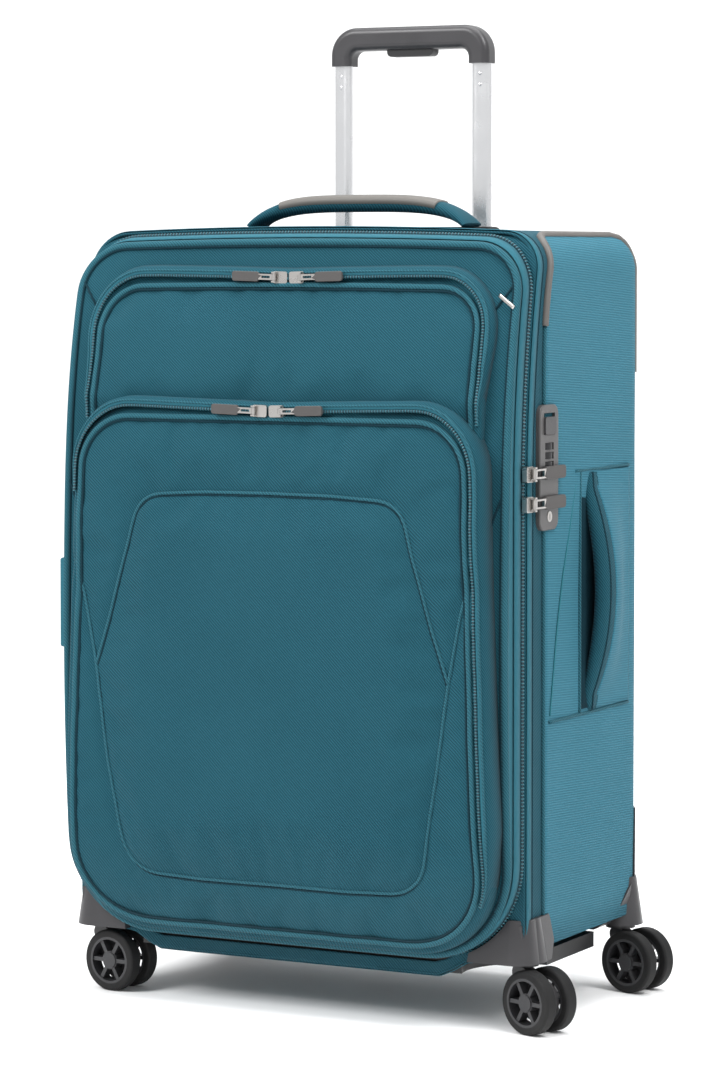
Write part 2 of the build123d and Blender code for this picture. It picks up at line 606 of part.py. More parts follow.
for label, step in (("lower", -1), ("middle", 0), ("upper", 1)):
    dial = Pos(dial_x, LOCK_Y, DIAL_Z + step * DIAL_PITCH) * (
        Cylinder(DIAL_R, DIAL_T) - Cylinder(DIAL_PIN_R + PIN_CLEAR, DIAL_T))
    write(f"lock_dial_{label}", dial)
release = span(face_x - 2.7, face_x + 1.5, LOCK_Y - RELEASE_W / 2, LOCK_Y + RELEASE_W / 2,
               RELEASE_Z - RELEASE_H / 2, RELEASE_Z + RELEASE_H / 2)
release = fillet(release.edges().filter_by(Axis.X), 2)
write("lock_release", release)
key = key_place * Pos(0, 0, 0.3) * Cylinder(KEY_R, 8.2, align=(Align.CENTER, Align.CENTER, Align.MIN))
key -= span(face_x - 4, face_x + 3, LOCK_Y - 0.6, LOCK_Y + 0.6, KEY_Z - 2.6, KEY_Z + 2.6)
write("lock_key_cylinder", key)

# ---- lid ------------------------------------------------------------------------------------------------
lid_block = across(lid_outline(0), -FAR, 0) & in_front_of(LID_FRONT)
lid_room = across(lid_outline(-LID_WALL), -FAR, 0)
lid_room &= in_front_of([(y + LID_WALL, z) for y, z in LID_FRONT])
lid_shell = lid_block - lid_room - behind_seam(-LID_GAP)
write("lid_panel", lid_shell)

chain = across(lid_outline(CHAIN_T) - lid_outline(0), -FAR, 0)
chain &= behind_seam(-LID_GAP - CHAIN_H)
chain -= behind_seam(-LID_GAP)
write("zip_chain", chain)

upper = across(upright_outline(UPPER_W, UPPER_LOW_Z, UPPER_TOP_Z, 1, UPPER_R), -FAR, 0)
upper &= in_front_of(UPPER_FRONT)
write("upper_pocket", upper - lid_block)

lower_face = upright_outline(LOWER_W, LOWER_LOW_Z, LOWER_TOP_Z, LOWER_LOW_R, LOWER_TOP_R, LOWER_FLARE)
lower = across(lower_face, -FAR, 0)
lower &= in_front_of(LOWER_FRONT)
write("lower_pocket", lower - lid_block)

badge_tilt = math.degrees(math.atan2(UPPER_FRONT[0][0] - UPPER_FRONT[1][0],
                                     UPPER_FRONT[0][1] - UPPER_FRONT[1][1]))
badge = RectangleRounded(BADGE_W, BADGE_H, 3)
badge_share = (UPPER_FRONT[0][1] - BADGE_Z) / (UPPER_FRONT[0][1] - UPPER_FRONT[1][1])
badge_y = UPPER_FRONT[0][0] + badge_share * (UPPER_FRONT[1][0] - UPPER_FRONT[0][0])
badge = extrude(Plane(origin=(0, badge_y - BADGE_T / 2, BADGE_Z), x_dir=(1, 0, 0),
                      z_dir=(0, -math.cos(math.radians(badge_tilt)),
                             math.sin(math.radians(badge_tilt)))) * badge, BADGE_T)
write("badge_plate", badge - upper)

# ---- zip sliders and their pulls ---------------------------------------------------------------------------
def slider_solid(along_pull, across_pull):
    """Slider in its own frame: base on XY, pull towards +X, pin along Y."""
    body = Box(along_pull, across_pull, SLIDER_H, align=(Align.CENTER, Align.CENTER, Align.MIN))
    body = fillet(body.edges().filter_by(Axis.Z), 2)
    eye_x = along_pull / 2 - 2.5
    for side in (1, -1):
        ear = Box(3.6, EAR_T, EYE_LIFT + 1.6 - SLIDER_H + 1,
                  align=(Align.CENTER, Align.CENTER, Align.MIN))
        body += Pos(eye_x, side * (across_pull / 2 - EAR_T / 2 - 0.5), SLIDER_H - 1) * ear
    body += Pos(eye_x, 0, EYE_LIFT) * Rot(90, 0, 0) * Cylinder(PIN_R, across_pull - 2)
    return body


def pull_solid(along_pull, across_pull, link, tab, tab_w):
    """Pull in the same frame: metal link frame, then a flat rubber tab."""
    eye_x = along_pull / 2 - 2.5
    eye_l = across_pull - 2 * EAR_T - 2
    metal = Pos(eye_x, 0, EYE_LIFT) * Rot(90, 0, 0) * Cylinder(EYE_R, eye_l)
    frame = Box(link, eye_l, PULL_T, align=(Align.MIN, Align.CENTER, Align.CENTER))
    frame -= Pos(3.5, 0, 0) * Box(link - 8, eye_l - 3, 4, align=(Align.MIN, Align.CENTER, Align.CENTER))
    metal += Pos(eye_x, 0, EYE_LIFT) * frame
    metal -= Pos(eye_x, 0, EYE_LIFT) * Rot(90, 0, 0) * Cylinder(PIN_R + PIN_CLEAR, 30)
    rubber = Pos(tab / 2, 0) * RectangleRounded(tab, tab_w, tab_w * 0.3)
    rubber = extrude(rubber, TAB_T)
    rubber = fillet(rubber.edges().group_by(Axis.Z)[-1], 0.6)
    return metal, Pos(eye_x + link - 1.5, 0, EYE_LIFT - TAB_T / 2) * rubber - metal


def write_slider(name, plane, along_pull, across_pull, link, tab, tab_w):
    """Write one slider and its pull, placed on the fabric."""
    seat = plane.location * Pos(0, 0, SLIDER_GAP)
    metal, rubber = pull_solid(along_pull, across_pull, link, tab, tab_w)
    write(f"slider_{name}", seat * slider_solid(along_pull, across_pull))
    write(f"pull_{name}", seat * metal, seat * rubber)


for label, z in (("main_upper", MAIN_UPPER_Z), ("main_lower", MAIN_LOWER_Z)):
    place = Plane(origin=(SIDE_X, SEAM_Y, z), x_dir=(0, 1, 0), z_dir=(1, 0, 0))
    write_slider(label, place, 13, 13, MAIN_LINK, MAIN_TAB, MAIN_TAB_W)

zip_faces = {"upper_pocket": (UPPER_ZIP_Z, UPPER_FRONT[0][0] - ZIP_SEAT),
             "lower_pocket": (LOWER_ZIP_Z, LOWER_FRONT[0][0] - ZIP_SEAT)}
for label, (z, y) in zip_faces.items():
    for side_name, side in (("right", 1), ("left", -1)):
        rise = math.sin(math.radians(ZIP_SLOPE))
        run = math.cos(math.radians(ZIP_SLOPE))
        place = Plane(origin=(side * POCKET_SLIDER_X, y, z), x_dir=(side * run, 0, rise),
                      z_dir=(0, -1, 0))
        write_slider(f"{label}_{side_name}", place, 14, 10, POCKET_LINK, POCKET_TAB, POCKET_TAB_W)
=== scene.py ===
# %% [markdown]
# # A softside suitcase, piece by piece
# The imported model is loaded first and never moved. It holds the hard pieces: wheels, forks, tubes, grip,
# lock, sliders and housings. The soft pieces of the real case are fabric, so they are made again here as
# skins over the same shapes, and each one rides on the body that carries it.

# %% load the frame
import json
import math

import bmesh
import bpy
import numpy as np
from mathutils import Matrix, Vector, noise
from mathutils.bvhtree import BVHTree


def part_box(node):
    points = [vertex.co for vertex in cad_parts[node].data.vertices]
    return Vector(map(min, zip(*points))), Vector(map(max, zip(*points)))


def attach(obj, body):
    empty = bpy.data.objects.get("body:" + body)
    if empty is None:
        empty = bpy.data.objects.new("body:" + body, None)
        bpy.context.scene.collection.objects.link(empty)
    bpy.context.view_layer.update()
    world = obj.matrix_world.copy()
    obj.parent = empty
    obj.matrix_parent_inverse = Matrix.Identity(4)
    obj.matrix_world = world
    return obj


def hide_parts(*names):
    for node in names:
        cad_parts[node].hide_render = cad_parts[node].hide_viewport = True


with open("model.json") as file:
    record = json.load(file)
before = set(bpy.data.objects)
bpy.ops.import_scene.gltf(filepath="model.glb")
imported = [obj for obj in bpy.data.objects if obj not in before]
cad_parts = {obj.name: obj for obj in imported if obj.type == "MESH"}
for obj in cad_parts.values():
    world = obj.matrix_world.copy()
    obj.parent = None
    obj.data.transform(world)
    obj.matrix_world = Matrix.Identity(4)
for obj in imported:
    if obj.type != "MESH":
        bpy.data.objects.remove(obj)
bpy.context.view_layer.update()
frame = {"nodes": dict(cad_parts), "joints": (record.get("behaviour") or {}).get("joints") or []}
nodes = frame["nodes"]

# %% [markdown]
# ## Sizes
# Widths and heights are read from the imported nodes, so the skins follow them. The radii and the leaning
# parting line between body and lid can't be read from a box, so they are named here.

# %% sizes in metres
MM = 0.001
SIDE_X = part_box("side_panel_right")[1].x
TOP_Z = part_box("top_panel")[1].z
BASE_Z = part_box("base_panel")[0].z
BACK_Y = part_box("back_panel")[1].y
lid_low, lid_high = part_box("lid_panel")
BODY_RADII = (30 * MM, 32 * MM)
LID_RADII = (80 * MM, 42 * MM)
UPPER_RADII = (4 * MM, 45 * MM)
LOWER_RADII = (75 * MM, 52 * MM)
LOWER_FLARE = 16 * MM
REAR_R = 21 * MM
LID_HIGH = lid_high.z + 4 * MM
SEAM_RISE = 6 * MM
CROWN = 5 * MM
BASE_SAG = 15 * MM
SEAM_Y = -101 * MM
SEAM_TOP_Y = -74 * MM
SEAM_BEND_Z = 450 * MM
print("body", SIDE_X * 2, BACK_Y, TOP_Z)


def seam_y(z):
    """Depth of the parting line at a height: upright, then leaning back on an arc."""
    lean = SEAM_TOP_Y - SEAM_Y
    rise = TOP_Z - SEAM_BEND_Z
    radius = (rise**2 + lean**2) / (2 * lean)
    above = np.clip(np.asarray(z) - SEAM_BEND_Z, 0, rise)
    return SEAM_Y + radius - np.sqrt(radius**2 - above**2)


def rise_to_seam(points, share=1.0):
    """Lift the top of a lid outline: the lid's top wall slopes up from its front to the parting line."""
    lifted = np.array(points, float)
    lifted[:, 1] += SEAM_RISE * share * np.clip((lifted[:, 1] - LID_HIGH + 70 * MM) / (62 * MM), 0, 1) ** 2
    return lifted


def settle(piece):
    """Lower the upper corners of a fabric piece a little, so that the top of the case is crowned."""
    co = np.array([tuple(v.co) for v in piece.data.vertices])
    high = np.clip((co[:, 2] - SEAM_BEND_Z) / (TOP_Z - SEAM_BEND_Z), 0, 1)
    co[:, 2] -= CROWN * high**2 * np.clip(abs(co[:, 0]) / SIDE_X, 0, 1) ** 2
    piece.data.vertices.foreach_set("co", co.ravel())
    piece.data.update()


def sag_between_wheels(piece):
    """Let the base fabric hang a little below its frame between the two front and rear wheel pairs."""
    co = np.array([tuple(v.co) for v in piece.data.vertices])
    inward = np.clip((168 * MM - abs(co[:, 0])) / (34 * MM), 0, 1)
    low = np.clip((BASE_Z + 17 * MM - co[:, 2]) / (17 * MM), 0, 1)
    co[:, 2] -= BASE_SAG * inward**2 * (3 - 2 * inward) * low
    piece.data.vertices.foreach_set("co", co.ravel())
    piece.data.update()


# %% [markdown]
# ## Helpers for meshes
# A skin is a grid of points joined by quads. Three helpers are enough for the whole case: one makes an
# object from points and quads, one draws a rounded outline seen from the front, and one sweeps a round
# tube along a path for piping, coils and stitches.

# %% mesh helpers
def mesh_object(name, points, faces, material, thickness=0.0, smooth=True):
    """A new mesh piece, with a thickness on its inner side when one is given."""
    mesh = bpy.data.meshes.new(name)
    mesh.from_pydata([tuple(p) for p in points], [], faces)
    mesh.validate()
    if smooth:
        mesh.polygons.foreach_set("use_smooth", [True] * len(mesh.polygons))
    piece = bpy.data.objects.new(name, mesh)
    bpy.context.collection.objects.link(piece)
    piece.data.materials.append(material)
    if thickness:
        solid = piece.modifiers.new("thickness", "SOLIDIFY")
        solid.thickness = thickness
        solid.offset = -1
    return piece


def grid_faces(rows, columns, closed=False):
    """Quads of a grid of points, stored row by row."""
    faces = []
    last = columns if closed else columns - 1
    for i in range(rows - 1):
        for j in range(last):
            k = (j + 1) % columns
            faces.append((i * columns + j, i * columns + k, (i + 1) * columns + k, (i + 1) * columns + j))
    return faces


def outline(half_w, low, high, radii, grow=0.0, side_steps=44, flat_steps=30, arc_steps=12):
    """Points (x, z) round a rounded rectangle, the same number whatever its size."""
    low_r, top_r = radii[0] + grow, radii[1] + grow
    half_w, low, high = half_w + grow, low - grow, high + grow
    corners = [(half_w - low_r, low + low_r, low_r, -90), (half_w - top_r, high - top_r, top_r, 0),
               (-half_w + top_r, high - top_r, top_r, 90), (-half_w + low_r, low + low_r, low_r, 180)]
    points = []
    for index, (cx, cz, r, start) in enumerate(corners):
        for step in range(arc_steps):
            angle = math.radians(start + 90 * step / arc_steps)
            points.append((cx + r * math.cos(angle), cz + r * math.sin(angle)))
        nx, nz, nr, nstart = corners[(index + 1) % 4]
        end = math.radians(start + 90)
        a = (cx + r * math.cos(end), cz + r * math.sin(end))
        b = (nx + nr * math.cos(math.radians(nstart)), nz + nr * math.sin(math.radians(nstart)))
        steps = side_steps if index % 2 == 0 else flat_steps
        for step in range(steps):
            t = step / steps
            points.append((a[0] + (b[0] - a[0]) * t, a[1] + (b[1] - a[1]) * t))
    return np.array(points)


def tube(name, path, radius, material, closed=False, sides=8, flat=1.0):
    """A round tube along a path of points, kept upright by the path's own turns."""
    path = [Vector(p) for p in path]
    count = len(path)
    points = []
    normal = None
    for i, p in enumerate(path):
        ahead = path[(i + 1) % count] if closed or i < count - 1 else path[i]
        back = path[i - 1] if closed or i > 0 else path[i]
        along = (ahead - back).normalized()
        if normal is None:
            normal = along.orthogonal().normalized()
        normal = (normal - along * normal.dot(along)).normalized()
        other = along.cross(normal)
        for k in range(sides):
            a = 2 * math.pi * k / sides
            points.append(p + (normal * math.cos(a) + other * math.sin(a) * flat) * radius)
    faces = grid_faces(count, sides, closed=True)
    if closed:
        last = (count - 1) * sides
        faces += [(last + k, last + (k + 1) % sides, (k + 1) % sides, k) for k in range(sides)]
    else:
        faces += [tuple(range(sides - 1, -1, -1)), tuple(range((count - 1) * sides, count * sides))]
    return mesh_object(name, points, faces, material)


def probe(node, direction):
    """A function that gives where a ray along a direction first meets a CAD node."""
    mesh = nodes[node].data
    tree = BVHTree.FromPolygons([v.co for v in mesh.vertices], [tuple(p.vertices) for p in mesh.polygons])
    ray = Vector(direction)

    def hit(point):
        found = tree.ray_cast(Vector(point) - ray * 2, ray)[0]
        return found

    return hit


def ripple(point, scale, seed=0.0):
    """Smooth repeatable noise between -1 and 1, for soft unevenness in fabric."""
    return noise.noise(Vector(point) / scale + Vector((seed, seed * 1.7, seed * 2.3)))


# %% [markdown]
# ## Shader groups
# The case shows five surface effects again and again: twill weave, plain weave, moulded grain, brushed
# streaks and dusty wear. Each is one node group that puts out only values, and each material places it
# with its own numbers. The twill lines run across x + y + z, so they stay diagonal on every face.

# %% node group helpers
def new_group(name, inputs, outputs):
    """An empty shader group with float inputs and named outputs."""
    group = bpy.data.node_groups.new(name, "ShaderNodeTree")
    for label, default in inputs:
        socket = group.interface.new_socket(label, in_out="INPUT", socket_type="NodeSocketFloat")
        socket.default_value = default
    for label in outputs:
        group.interface.new_socket(label, in_out="OUTPUT", socket_type="NodeSocketFloat")
    start = group.nodes.new("NodeGroupInput")
    end = group.nodes.new("NodeGroupOutput")
    return group, start, end


def math_node(tree, operation, a, b=None, clamp=False):
    """One math node, fed by sockets or by plain numbers."""
    node = tree.nodes.new("ShaderNodeMath")
    node.operation = operation
    node.use_clamp = clamp
    for index, value in enumerate((a, b)):
        if value is None:
            continue
        if isinstance(value, (int, float)):
            node.inputs[index].default_value = value
        else:
            tree.links.new(value, node.inputs[index])
    return node.outputs[0]


def diagonal(tree, direction, pitch):
    """A wave from 0 to 1 across a direction in object space, one crest per pitch."""
    where = tree.nodes.new("ShaderNodeTexCoord").outputs["Object"]
    dot = tree.nodes.new("ShaderNodeVectorMath")
    dot.operation = "DOT_PRODUCT"
    dot.inputs[1].default_value = direction
    tree.links.new(where, dot.inputs[0])
    turns = math_node(tree, "DIVIDE", dot.outputs["Value"], pitch)
    wave = math_node(tree, "SINE", math_node(tree, "MULTIPLY", turns, 2 * math.pi))
    return math_node(tree, "MULTIPLY_ADD", wave, 0.5)


def noise_value(tree, scale, detail=3.0, stretch=(1, 1, 1)):
    """Noise in object space, with an optional stretch along an axis."""
    where = tree.nodes.new("ShaderNodeTexCoord").outputs["Object"]
    mapping = tree.nodes.new("ShaderNodeMapping")
    mapping.inputs["Scale"].default_value = stretch
    tree.links.new(where, mapping.inputs["Vector"])
    texture = tree.nodes.new("ShaderNodeTexNoise")
    texture.inputs["Detail"].default_value = detail
    if isinstance(scale, (int, float)):
        texture.inputs["Scale"].default_value = scale
    else:
        tree.links.new(scale, texture.inputs["Scale"])
    tree.links.new(mapping.outputs[0], texture.inputs["Vector"])
    return texture.outputs["Fac"]


# %% build the groups
def build_weave(name, direction, cross):
    """Woven threads: a main diagonal broken by a finer cross thread and by slubs."""
    group, start, end = new_group(name, [("Pitch", 0.002), ("Slub", 0.4)], ["Height", "Thread", "Slubs"])
    main = diagonal(group, direction, start.outputs["Pitch"])
    finer = math_node(group, "MULTIPLY", start.outputs["Pitch"], 0.53)
    thread = diagonal(group, cross, finer)
    woven = math_node(group, "ADD", math_node(group, "MULTIPLY", main, 0.7),
                      math_node(group, "MULTIPLY", thread, 0.3))
    slubs = noise_value(group, 420.0, 2.0, (1, 1, 0.25))
    uneven = math_node(group, "MULTIPLY", slubs, start.outputs["Slub"])
    group.links.new(math_node(group, "ADD", woven, uneven), end.inputs["Height"])
    group.links.new(woven, end.inputs["Thread"])
    group.links.new(slubs, end.inputs["Slubs"])
    return group


def build_grain():
    """Fine pits of moulded plastic and rubber, with broad polished patches."""
    group, start, end = new_group("moulded_grain", [("Scale", 900.0)], ["Height", "Patches"])
    group.links.new(noise_value(group, start.outputs["Scale"], 2.0), end.inputs["Height"])
    group.links.new(noise_value(group, 28.0, 4.0), end.inputs["Patches"])
    return group


def build_streaks():
    """Fine lines along the height of a drawn or brushed metal piece."""
    group, start, end = new_group("drawn_streaks", [("Scale", 700.0)], ["Height", "Smears"])
    group.links.new(noise_value(group, start.outputs["Scale"], 2.0, (1, 1, 0.02)), end.inputs["Height"])
    group.links.new(noise_value(group, 60.0, 3.0), end.inputs["Smears"])
    return group


def build_dust():
    """Soft dirt that gathers towards the floor and in broad cloudy patches."""
    group, start, end = new_group("dusty_wear", [("Reach", 0.12)], ["Mask"])
    where = group.nodes.new("ShaderNodeTexCoord").outputs["Object"]
    split = group.nodes.new("ShaderNodeSeparateXYZ")
    group.links.new(where, split.inputs[0])
    low = math_node(group, "SUBTRACT", 1.0, math_node(group, "DIVIDE", split.outputs["Z"],
                                                      start.outputs["Reach"]), clamp=True)
    clouds = noise_value(group, 35.0, 5.0)
    group.links.new(math_node(group, "MULTIPLY", low, clouds), end.inputs["Mask"])
    return group


TWILL = build_weave("twill_weave", (1, 1, 1), (1, 1, -1))
PLAIN = build_weave("plain_weave", (0.06, 0.06, 1), (1, 1, 0.05))
GRAIN = build_grain()
STREAKS = build_streaks()
DUST = build_dust()
print("groups", [g.name for g in bpy.data.node_groups])


# %% [markdown]
# ## Materials
# Every material keeps its own Principled shader. Cloth gets a weave that drives its colour, a soft sheen
# and a Bump. Plastics and rubber get grain, metals get streaks or smears in their roughness.

# %% material makers
def start_material(name, roughness, metallic=0.0):
    """A material with a Principled shader, and helpers' common parts."""
    material = bpy.data.materials.new(name)
    material.use_nodes = True
    tree = material.node_tree
    shader = tree.nodes["Principled BSDF"]
    shader.inputs["Roughness"].default_value = roughness
    shader.inputs["Metallic"].default_value = metallic
    return material, tree, shader


def place(tree, group, **values):
    """Put a group in a material and set its inputs."""
    node = tree.nodes.new("ShaderNodeGroup")
    node.node_tree = group
    for label, value in values.items():
        node.inputs[label].default_value = value
    return node


def mixed(tree, factor, first, second):
    """A colour between two, by a factor socket."""
    mix = tree.nodes.new("ShaderNodeMix")
    mix.data_type = "RGBA"
    tree.links.new(factor, mix.inputs["Factor"])
    for index, colour in ((6, first), (7, second)):
        if isinstance(colour, tuple):
            mix.inputs[index].default_value = (*colour, 1)
        else:
            tree.links.new(colour, mix.inputs[index])
    return mix.outputs[2]


def bump(tree, shader, height, strength, distance):
    """Feed a height into the shader's normal."""
    node = tree.nodes.new("ShaderNodeBump")
    node.inputs["Strength"].default_value = strength
    node.inputs["Distance"].default_value = distance
    tree.links.new(height, node.inputs["Height"])
    tree.links.new(node.outputs[0], shader.inputs["Normal"])


def cloth_material(name, dark, light, weave=TWILL, pitch=0.0022, sheen=0.03, dusty=(0.18, 0.20, 0.20)):
    """Woven fabric with a thread colour, a gap colour and dust near the floor."""
    material, tree, shader = start_material(name, 0.85)
    woven = place(tree, weave, Pitch=pitch)
    colour = mixed(tree, woven.outputs["Thread"], dark, light)
    lighter = tuple(min(1, c * 1.25 + 0.01) for c in light)
    patches = math_node(tree, "MULTIPLY", noise_value(tree, 9.0, 3.0), 0.2)
    colour = mixed(tree, patches, colour, lighter)
    dust = place(tree, DUST, Reach=0.16)
    colour = mixed(tree, math_node(tree, "MULTIPLY", dust.outputs["Mask"], 0.10), colour, dusty)
    tree.links.new(colour, shader.inputs["Base Color"])
    shader.inputs["Sheen Weight"].default_value = sheen
    shader.inputs["Sheen Roughness"].default_value = 0.45
    shader.inputs["Specular IOR Level"].default_value = 0.14
    bump(tree, shader, woven.outputs["Height"], 0.5, 0.0008)
    return material


def moulded_material(name, colour, roughness, scale=900.0, strength=0.25, dust_amount=0.05, gloss=0.35):
    """Moulded plastic or rubber: fine grain, uneven polish, dust low down."""
    material, tree, shader = start_material(name, roughness)
    grain = place(tree, GRAIN, Scale=scale)
    polished = tuple(c * 1.3 + 0.002 for c in colour)
    base = mixed(tree, grain.outputs["Patches"], colour, polished)
    dust = place(tree, DUST, Reach=0.09)
    amount = math_node(tree, "MULTIPLY", dust.outputs["Mask"], dust_amount)
    base = mixed(tree, amount, base, (0.35, 0.34, 0.32))
    tree.links.new(base, shader.inputs["Base Color"])
    shader.inputs["Specular IOR Level"].default_value = gloss
    rough = math_node(tree, "MULTIPLY_ADD", grain.outputs["Patches"], 0.2)
    rough.node.inputs[2].default_value = roughness - 0.1
    tree.links.new(rough, shader.inputs["Roughness"])
    bump(tree, shader, grain.outputs["Height"], strength, 0.0003)
    return material


def metal_material(name, colour, roughness, scale=700.0, strength=0.15):
    """Bare or plated metal with drawn streaks and faint smears."""
    material, tree, shader = start_material(name, roughness, 1.0)
    streaks = place(tree, STREAKS, Scale=scale)
    worn = tuple(c * 0.8 for c in colour)
    base = mixed(tree, math_node(tree, "MULTIPLY", streaks.outputs["Smears"], 0.5), colour, worn)
    tree.links.new(base, shader.inputs["Base Color"])
    rough = math_node(tree, "MULTIPLY_ADD", streaks.outputs["Smears"], 0.18)
    rough.node.inputs[2].default_value = roughness - 0.06
    tree.links.new(rough, shader.inputs["Roughness"])
    bump(tree, shader, streaks.outputs["Height"], strength, 0.0002)
    return material


# %% the case's finishes
FRONT_TWILL = cloth_material("front_twill", (0.000, 0.014, 0.023), (0.011, 0.080, 0.110), TWILL, 0.0029)
SIDE_WEAVE = cloth_material("side_weave", (0.012, 0.074, 0.106), (0.034, 0.152, 0.208), PLAIN, 0.0021)
PIPING_TEAL = cloth_material("piping_teal", (0.002, 0.024, 0.036), (0.024, 0.112, 0.146), TWILL, 0.0030)
TAPE_TEAL = cloth_material("tape_teal", (0.016, 0.088, 0.120), (0.024, 0.118, 0.156), PLAIN, 0.0009, 0.03)
COIL_DARK = moulded_material("coil_dark", (0.003, 0.022, 0.032), 0.40, 1500.0, 0.3, 0.0)
# coil_crest_painted_highlight is a lighter teal for the crest of each coil tooth: a painted highlight on the
# dark coil.
TOOTH_CREST_HIGHLIGHT = moulded_material("coil_crest_painted_highlight", (0.020, 0.110, 0.140), 0.35, 1500.0, 0.3, 0.0)
THREAD = cloth_material("stitch_thread", (0.008, 0.080, 0.105), (0.030, 0.170, 0.205), TWILL, 0.0012)
# seam_shade is near-black teal cloth for the thin cords laid in grooves, creases and along raised edges:
# painted shade.
SEAM_SHADE = cloth_material("seam_shade", (0.001, 0.014, 0.022), (0.003, 0.026, 0.038), TWILL, 0.0014, 0.0)
LINING = cloth_material("dark_lining_cloth", (0.030, 0.032, 0.036), (0.060, 0.063, 0.068), PLAIN, 0.0018, 0.1)
WEBBING = cloth_material("black_webbing", (0.010, 0.010, 0.011), (0.030, 0.030, 0.032), TWILL, 0.0016, 0.1)
GREY_STRAP = moulded_material("grey_strap_leather", (0.088, 0.082, 0.075), 0.55, 520.0, 0.35, 0.0)
GREY_PIPING = moulded_material("grey_piping", (0.082, 0.077, 0.072), 0.55, 600.0, 0.2, 0.0)
GREY_PLASTIC = moulded_material("grey_plastic", (0.028, 0.027, 0.029), 0.36)
HUB_PLASTIC = moulded_material("hub_plastic", (0.018, 0.018, 0.020), 0.34)
BLACK_PLASTIC = moulded_material("black_plastic_grain", (0.009, 0.009, 0.010), 0.45)
LOCK_PLASTIC = moulded_material("lock_plastic_satin", (0.050, 0.048, 0.048), 0.36, 1200.0, 0.12, 0.0)
PULL_RUBBER = moulded_material("pull_rubber", (0.044, 0.041, 0.040), 0.6, 800.0, 0.2, 0.0)
TYRE_RUBBER = moulded_material("tyre_rubber_matte", (0.006, 0.006, 0.0065), 0.6, 700.0, 0.3, 0.06, 0.15)
TUBE_METAL = metal_material("bright_anodised", (0.86, 0.86, 0.87), 0.22)
STEEL = metal_material("plain_steel", (0.55, 0.55, 0.56), 0.34)
SILVER = metal_material("satin_silver", (0.50, 0.48, 0.46), 0.26)
BADGE_METAL = moulded_material("badge_satin", (0.225, 0.210, 0.178), 0.4, 1400.0, 0.1, 0.0)
print("materials", len(bpy.data.materials))

# %% [markdown]
# ## Finishes on the hard pieces
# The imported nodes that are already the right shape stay, and only get a finish. A pull is a metal link
# with a rubber tab in one node, so the faces near its pin take the metal.

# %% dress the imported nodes
FINISHES = {
    "caster_fork": GREY_PLASTIC, "caster_axle": STEEL, "wheel_hubs": HUB_PLASTIC, "wheel_tyres": TYRE_RUBBER,
    "front_wheel_housings": GREY_PLASTIC, "rear_wheel_guards": GREY_PLASTIC, "bottom_tray": BLACK_PLASTIC,
    "tray_screws": STEEL, "trolley_outer": TUBE_METAL, "trolley_middle": TUBE_METAL,
    "trolley_inner": TUBE_METAL, "trolley_grip": GREY_PLASTIC, "release_button": BLACK_PLASTIC,
    "trolley_bezel": BLACK_PLASTIC, "trolley_bracket": BLACK_PLASTIC, "lock_plate": LOCK_PLASTIC,
    "lock_dial": BLACK_PLASTIC, "lock_release": GREY_PLASTIC, "lock_key": SILVER, "slider": SILVER,
    "pull": PULL_RUBBER, "badge_plate": BADGE_METAL,
}


def dress(node, material):
    """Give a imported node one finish."""
    piece = nodes[node]
    piece.data.materials.clear()
    piece.data.materials.append(material)


for node in nodes:
    for prefix, material in FINISHES.items():
        if node.startswith(prefix):
            dress(node, material)

joint_at = {joint["child"]: joint for joint in frame["joints"]}
for node, piece in nodes.items():
    if not node.startswith("pull_"):
        continue
    pin = Vector(joint_at[node]["pos_m"])
    link = (22 if "main" in node else 16) * MM - 1.6 * MM
    piece.data.materials.append(SILVER)
    for polygon in piece.data.polygons:
        if (polygon.center - pin).length < link:
            polygon.material_index = 1
print("dressed", len(nodes))

# %% [markdown]
# ## The body's fabric
# One band of fabric runs round the case from the parting line to the rear corner, where it turns in on a
# radius to meet the flat back. Rows of the same rounded outline, moved back along the case, make it. A
# little noise keeps the fabric from looking like sheet metal, fading to nothing at the seams.

# %% body band and back
def body_band(name, material, far_y, rear_r, rows, unevenness, thickness):
    """The band between the seam and the back, with its rear edge rounded in."""
    flat = outline(SIDE_X, BASE_Z, TOP_Z, BODY_RADII)
    seam = seam_y(flat[:, 1])
    rings = []
    for k in range(rows):
        y = seam + (far_y - rear_r - seam) * (k / (rows - 1))
        rings.append(np.column_stack([flat[:, 0], y, flat[:, 1]]))
    for k in range(1, 8):
        a = math.radians(90 * k / 7)
        inset = rear_r * (1 - math.cos(a))
        flat = outline(SIDE_X, BASE_Z, TOP_Z, BODY_RADII, -inset)
        y = np.full(len(flat), far_y - rear_r + rear_r * math.sin(a))
        rings.append(np.column_stack([flat[:, 0], y, flat[:, 1]]))
    points = np.concatenate(rings)
    middle = Vector((0, 0, (TOP_Z + BASE_Z) / 2))
    for i, p in enumerate(points):
        row = i // len(rings[0])
        fade = math.sin(math.pi * min(1, row / rows)) ** 0.5 if row < rows else 0
        push = unevenness * fade * (ripple(p, 0.11, 3) + 0.4 * ripple(p, 0.04, 5))
        outward = Vector((p[0], 0, p[2] - middle.z)).normalized()
        points[i] += np.array(outward) * push
    columns = len(rings[0])
    return mesh_object(name, points, grid_faces(len(rings), columns, True), material, thickness), rings[-1]


BODY_SKIN = 2.2 * MM
body_fabric, back_loop = body_band("body_fabric", FRONT_TWILL, BACK_Y, REAR_R, 26, 0.5 * MM, -BODY_SKIN)


def loop_panel(name, loop, material, thickness, crown=0.0):
    """A panel filled inwards from a closed loop, in rings that shrink to its middle."""
    centre = loop.mean(axis=0)
    rings = 16
    points = []
    for k in range(rings):
        s = 1 - k / rings
        ring = centre + (loop - centre) * s
        ring[:, 1] += crown * (1 - s * s)
        points.append(ring)
    points = np.concatenate(points)
    count = len(loop)
    faces = grid_faces(rings, count, True)
    tip = len(points)
    points = np.vstack([points, centre + np.array([0, crown, 0])])
    faces += [((rings - 1) * count + j, (rings - 1) * count + (j + 1) % count, tip) for j in range(count)]
    return mesh_object(name, points, faces, material, thickness)


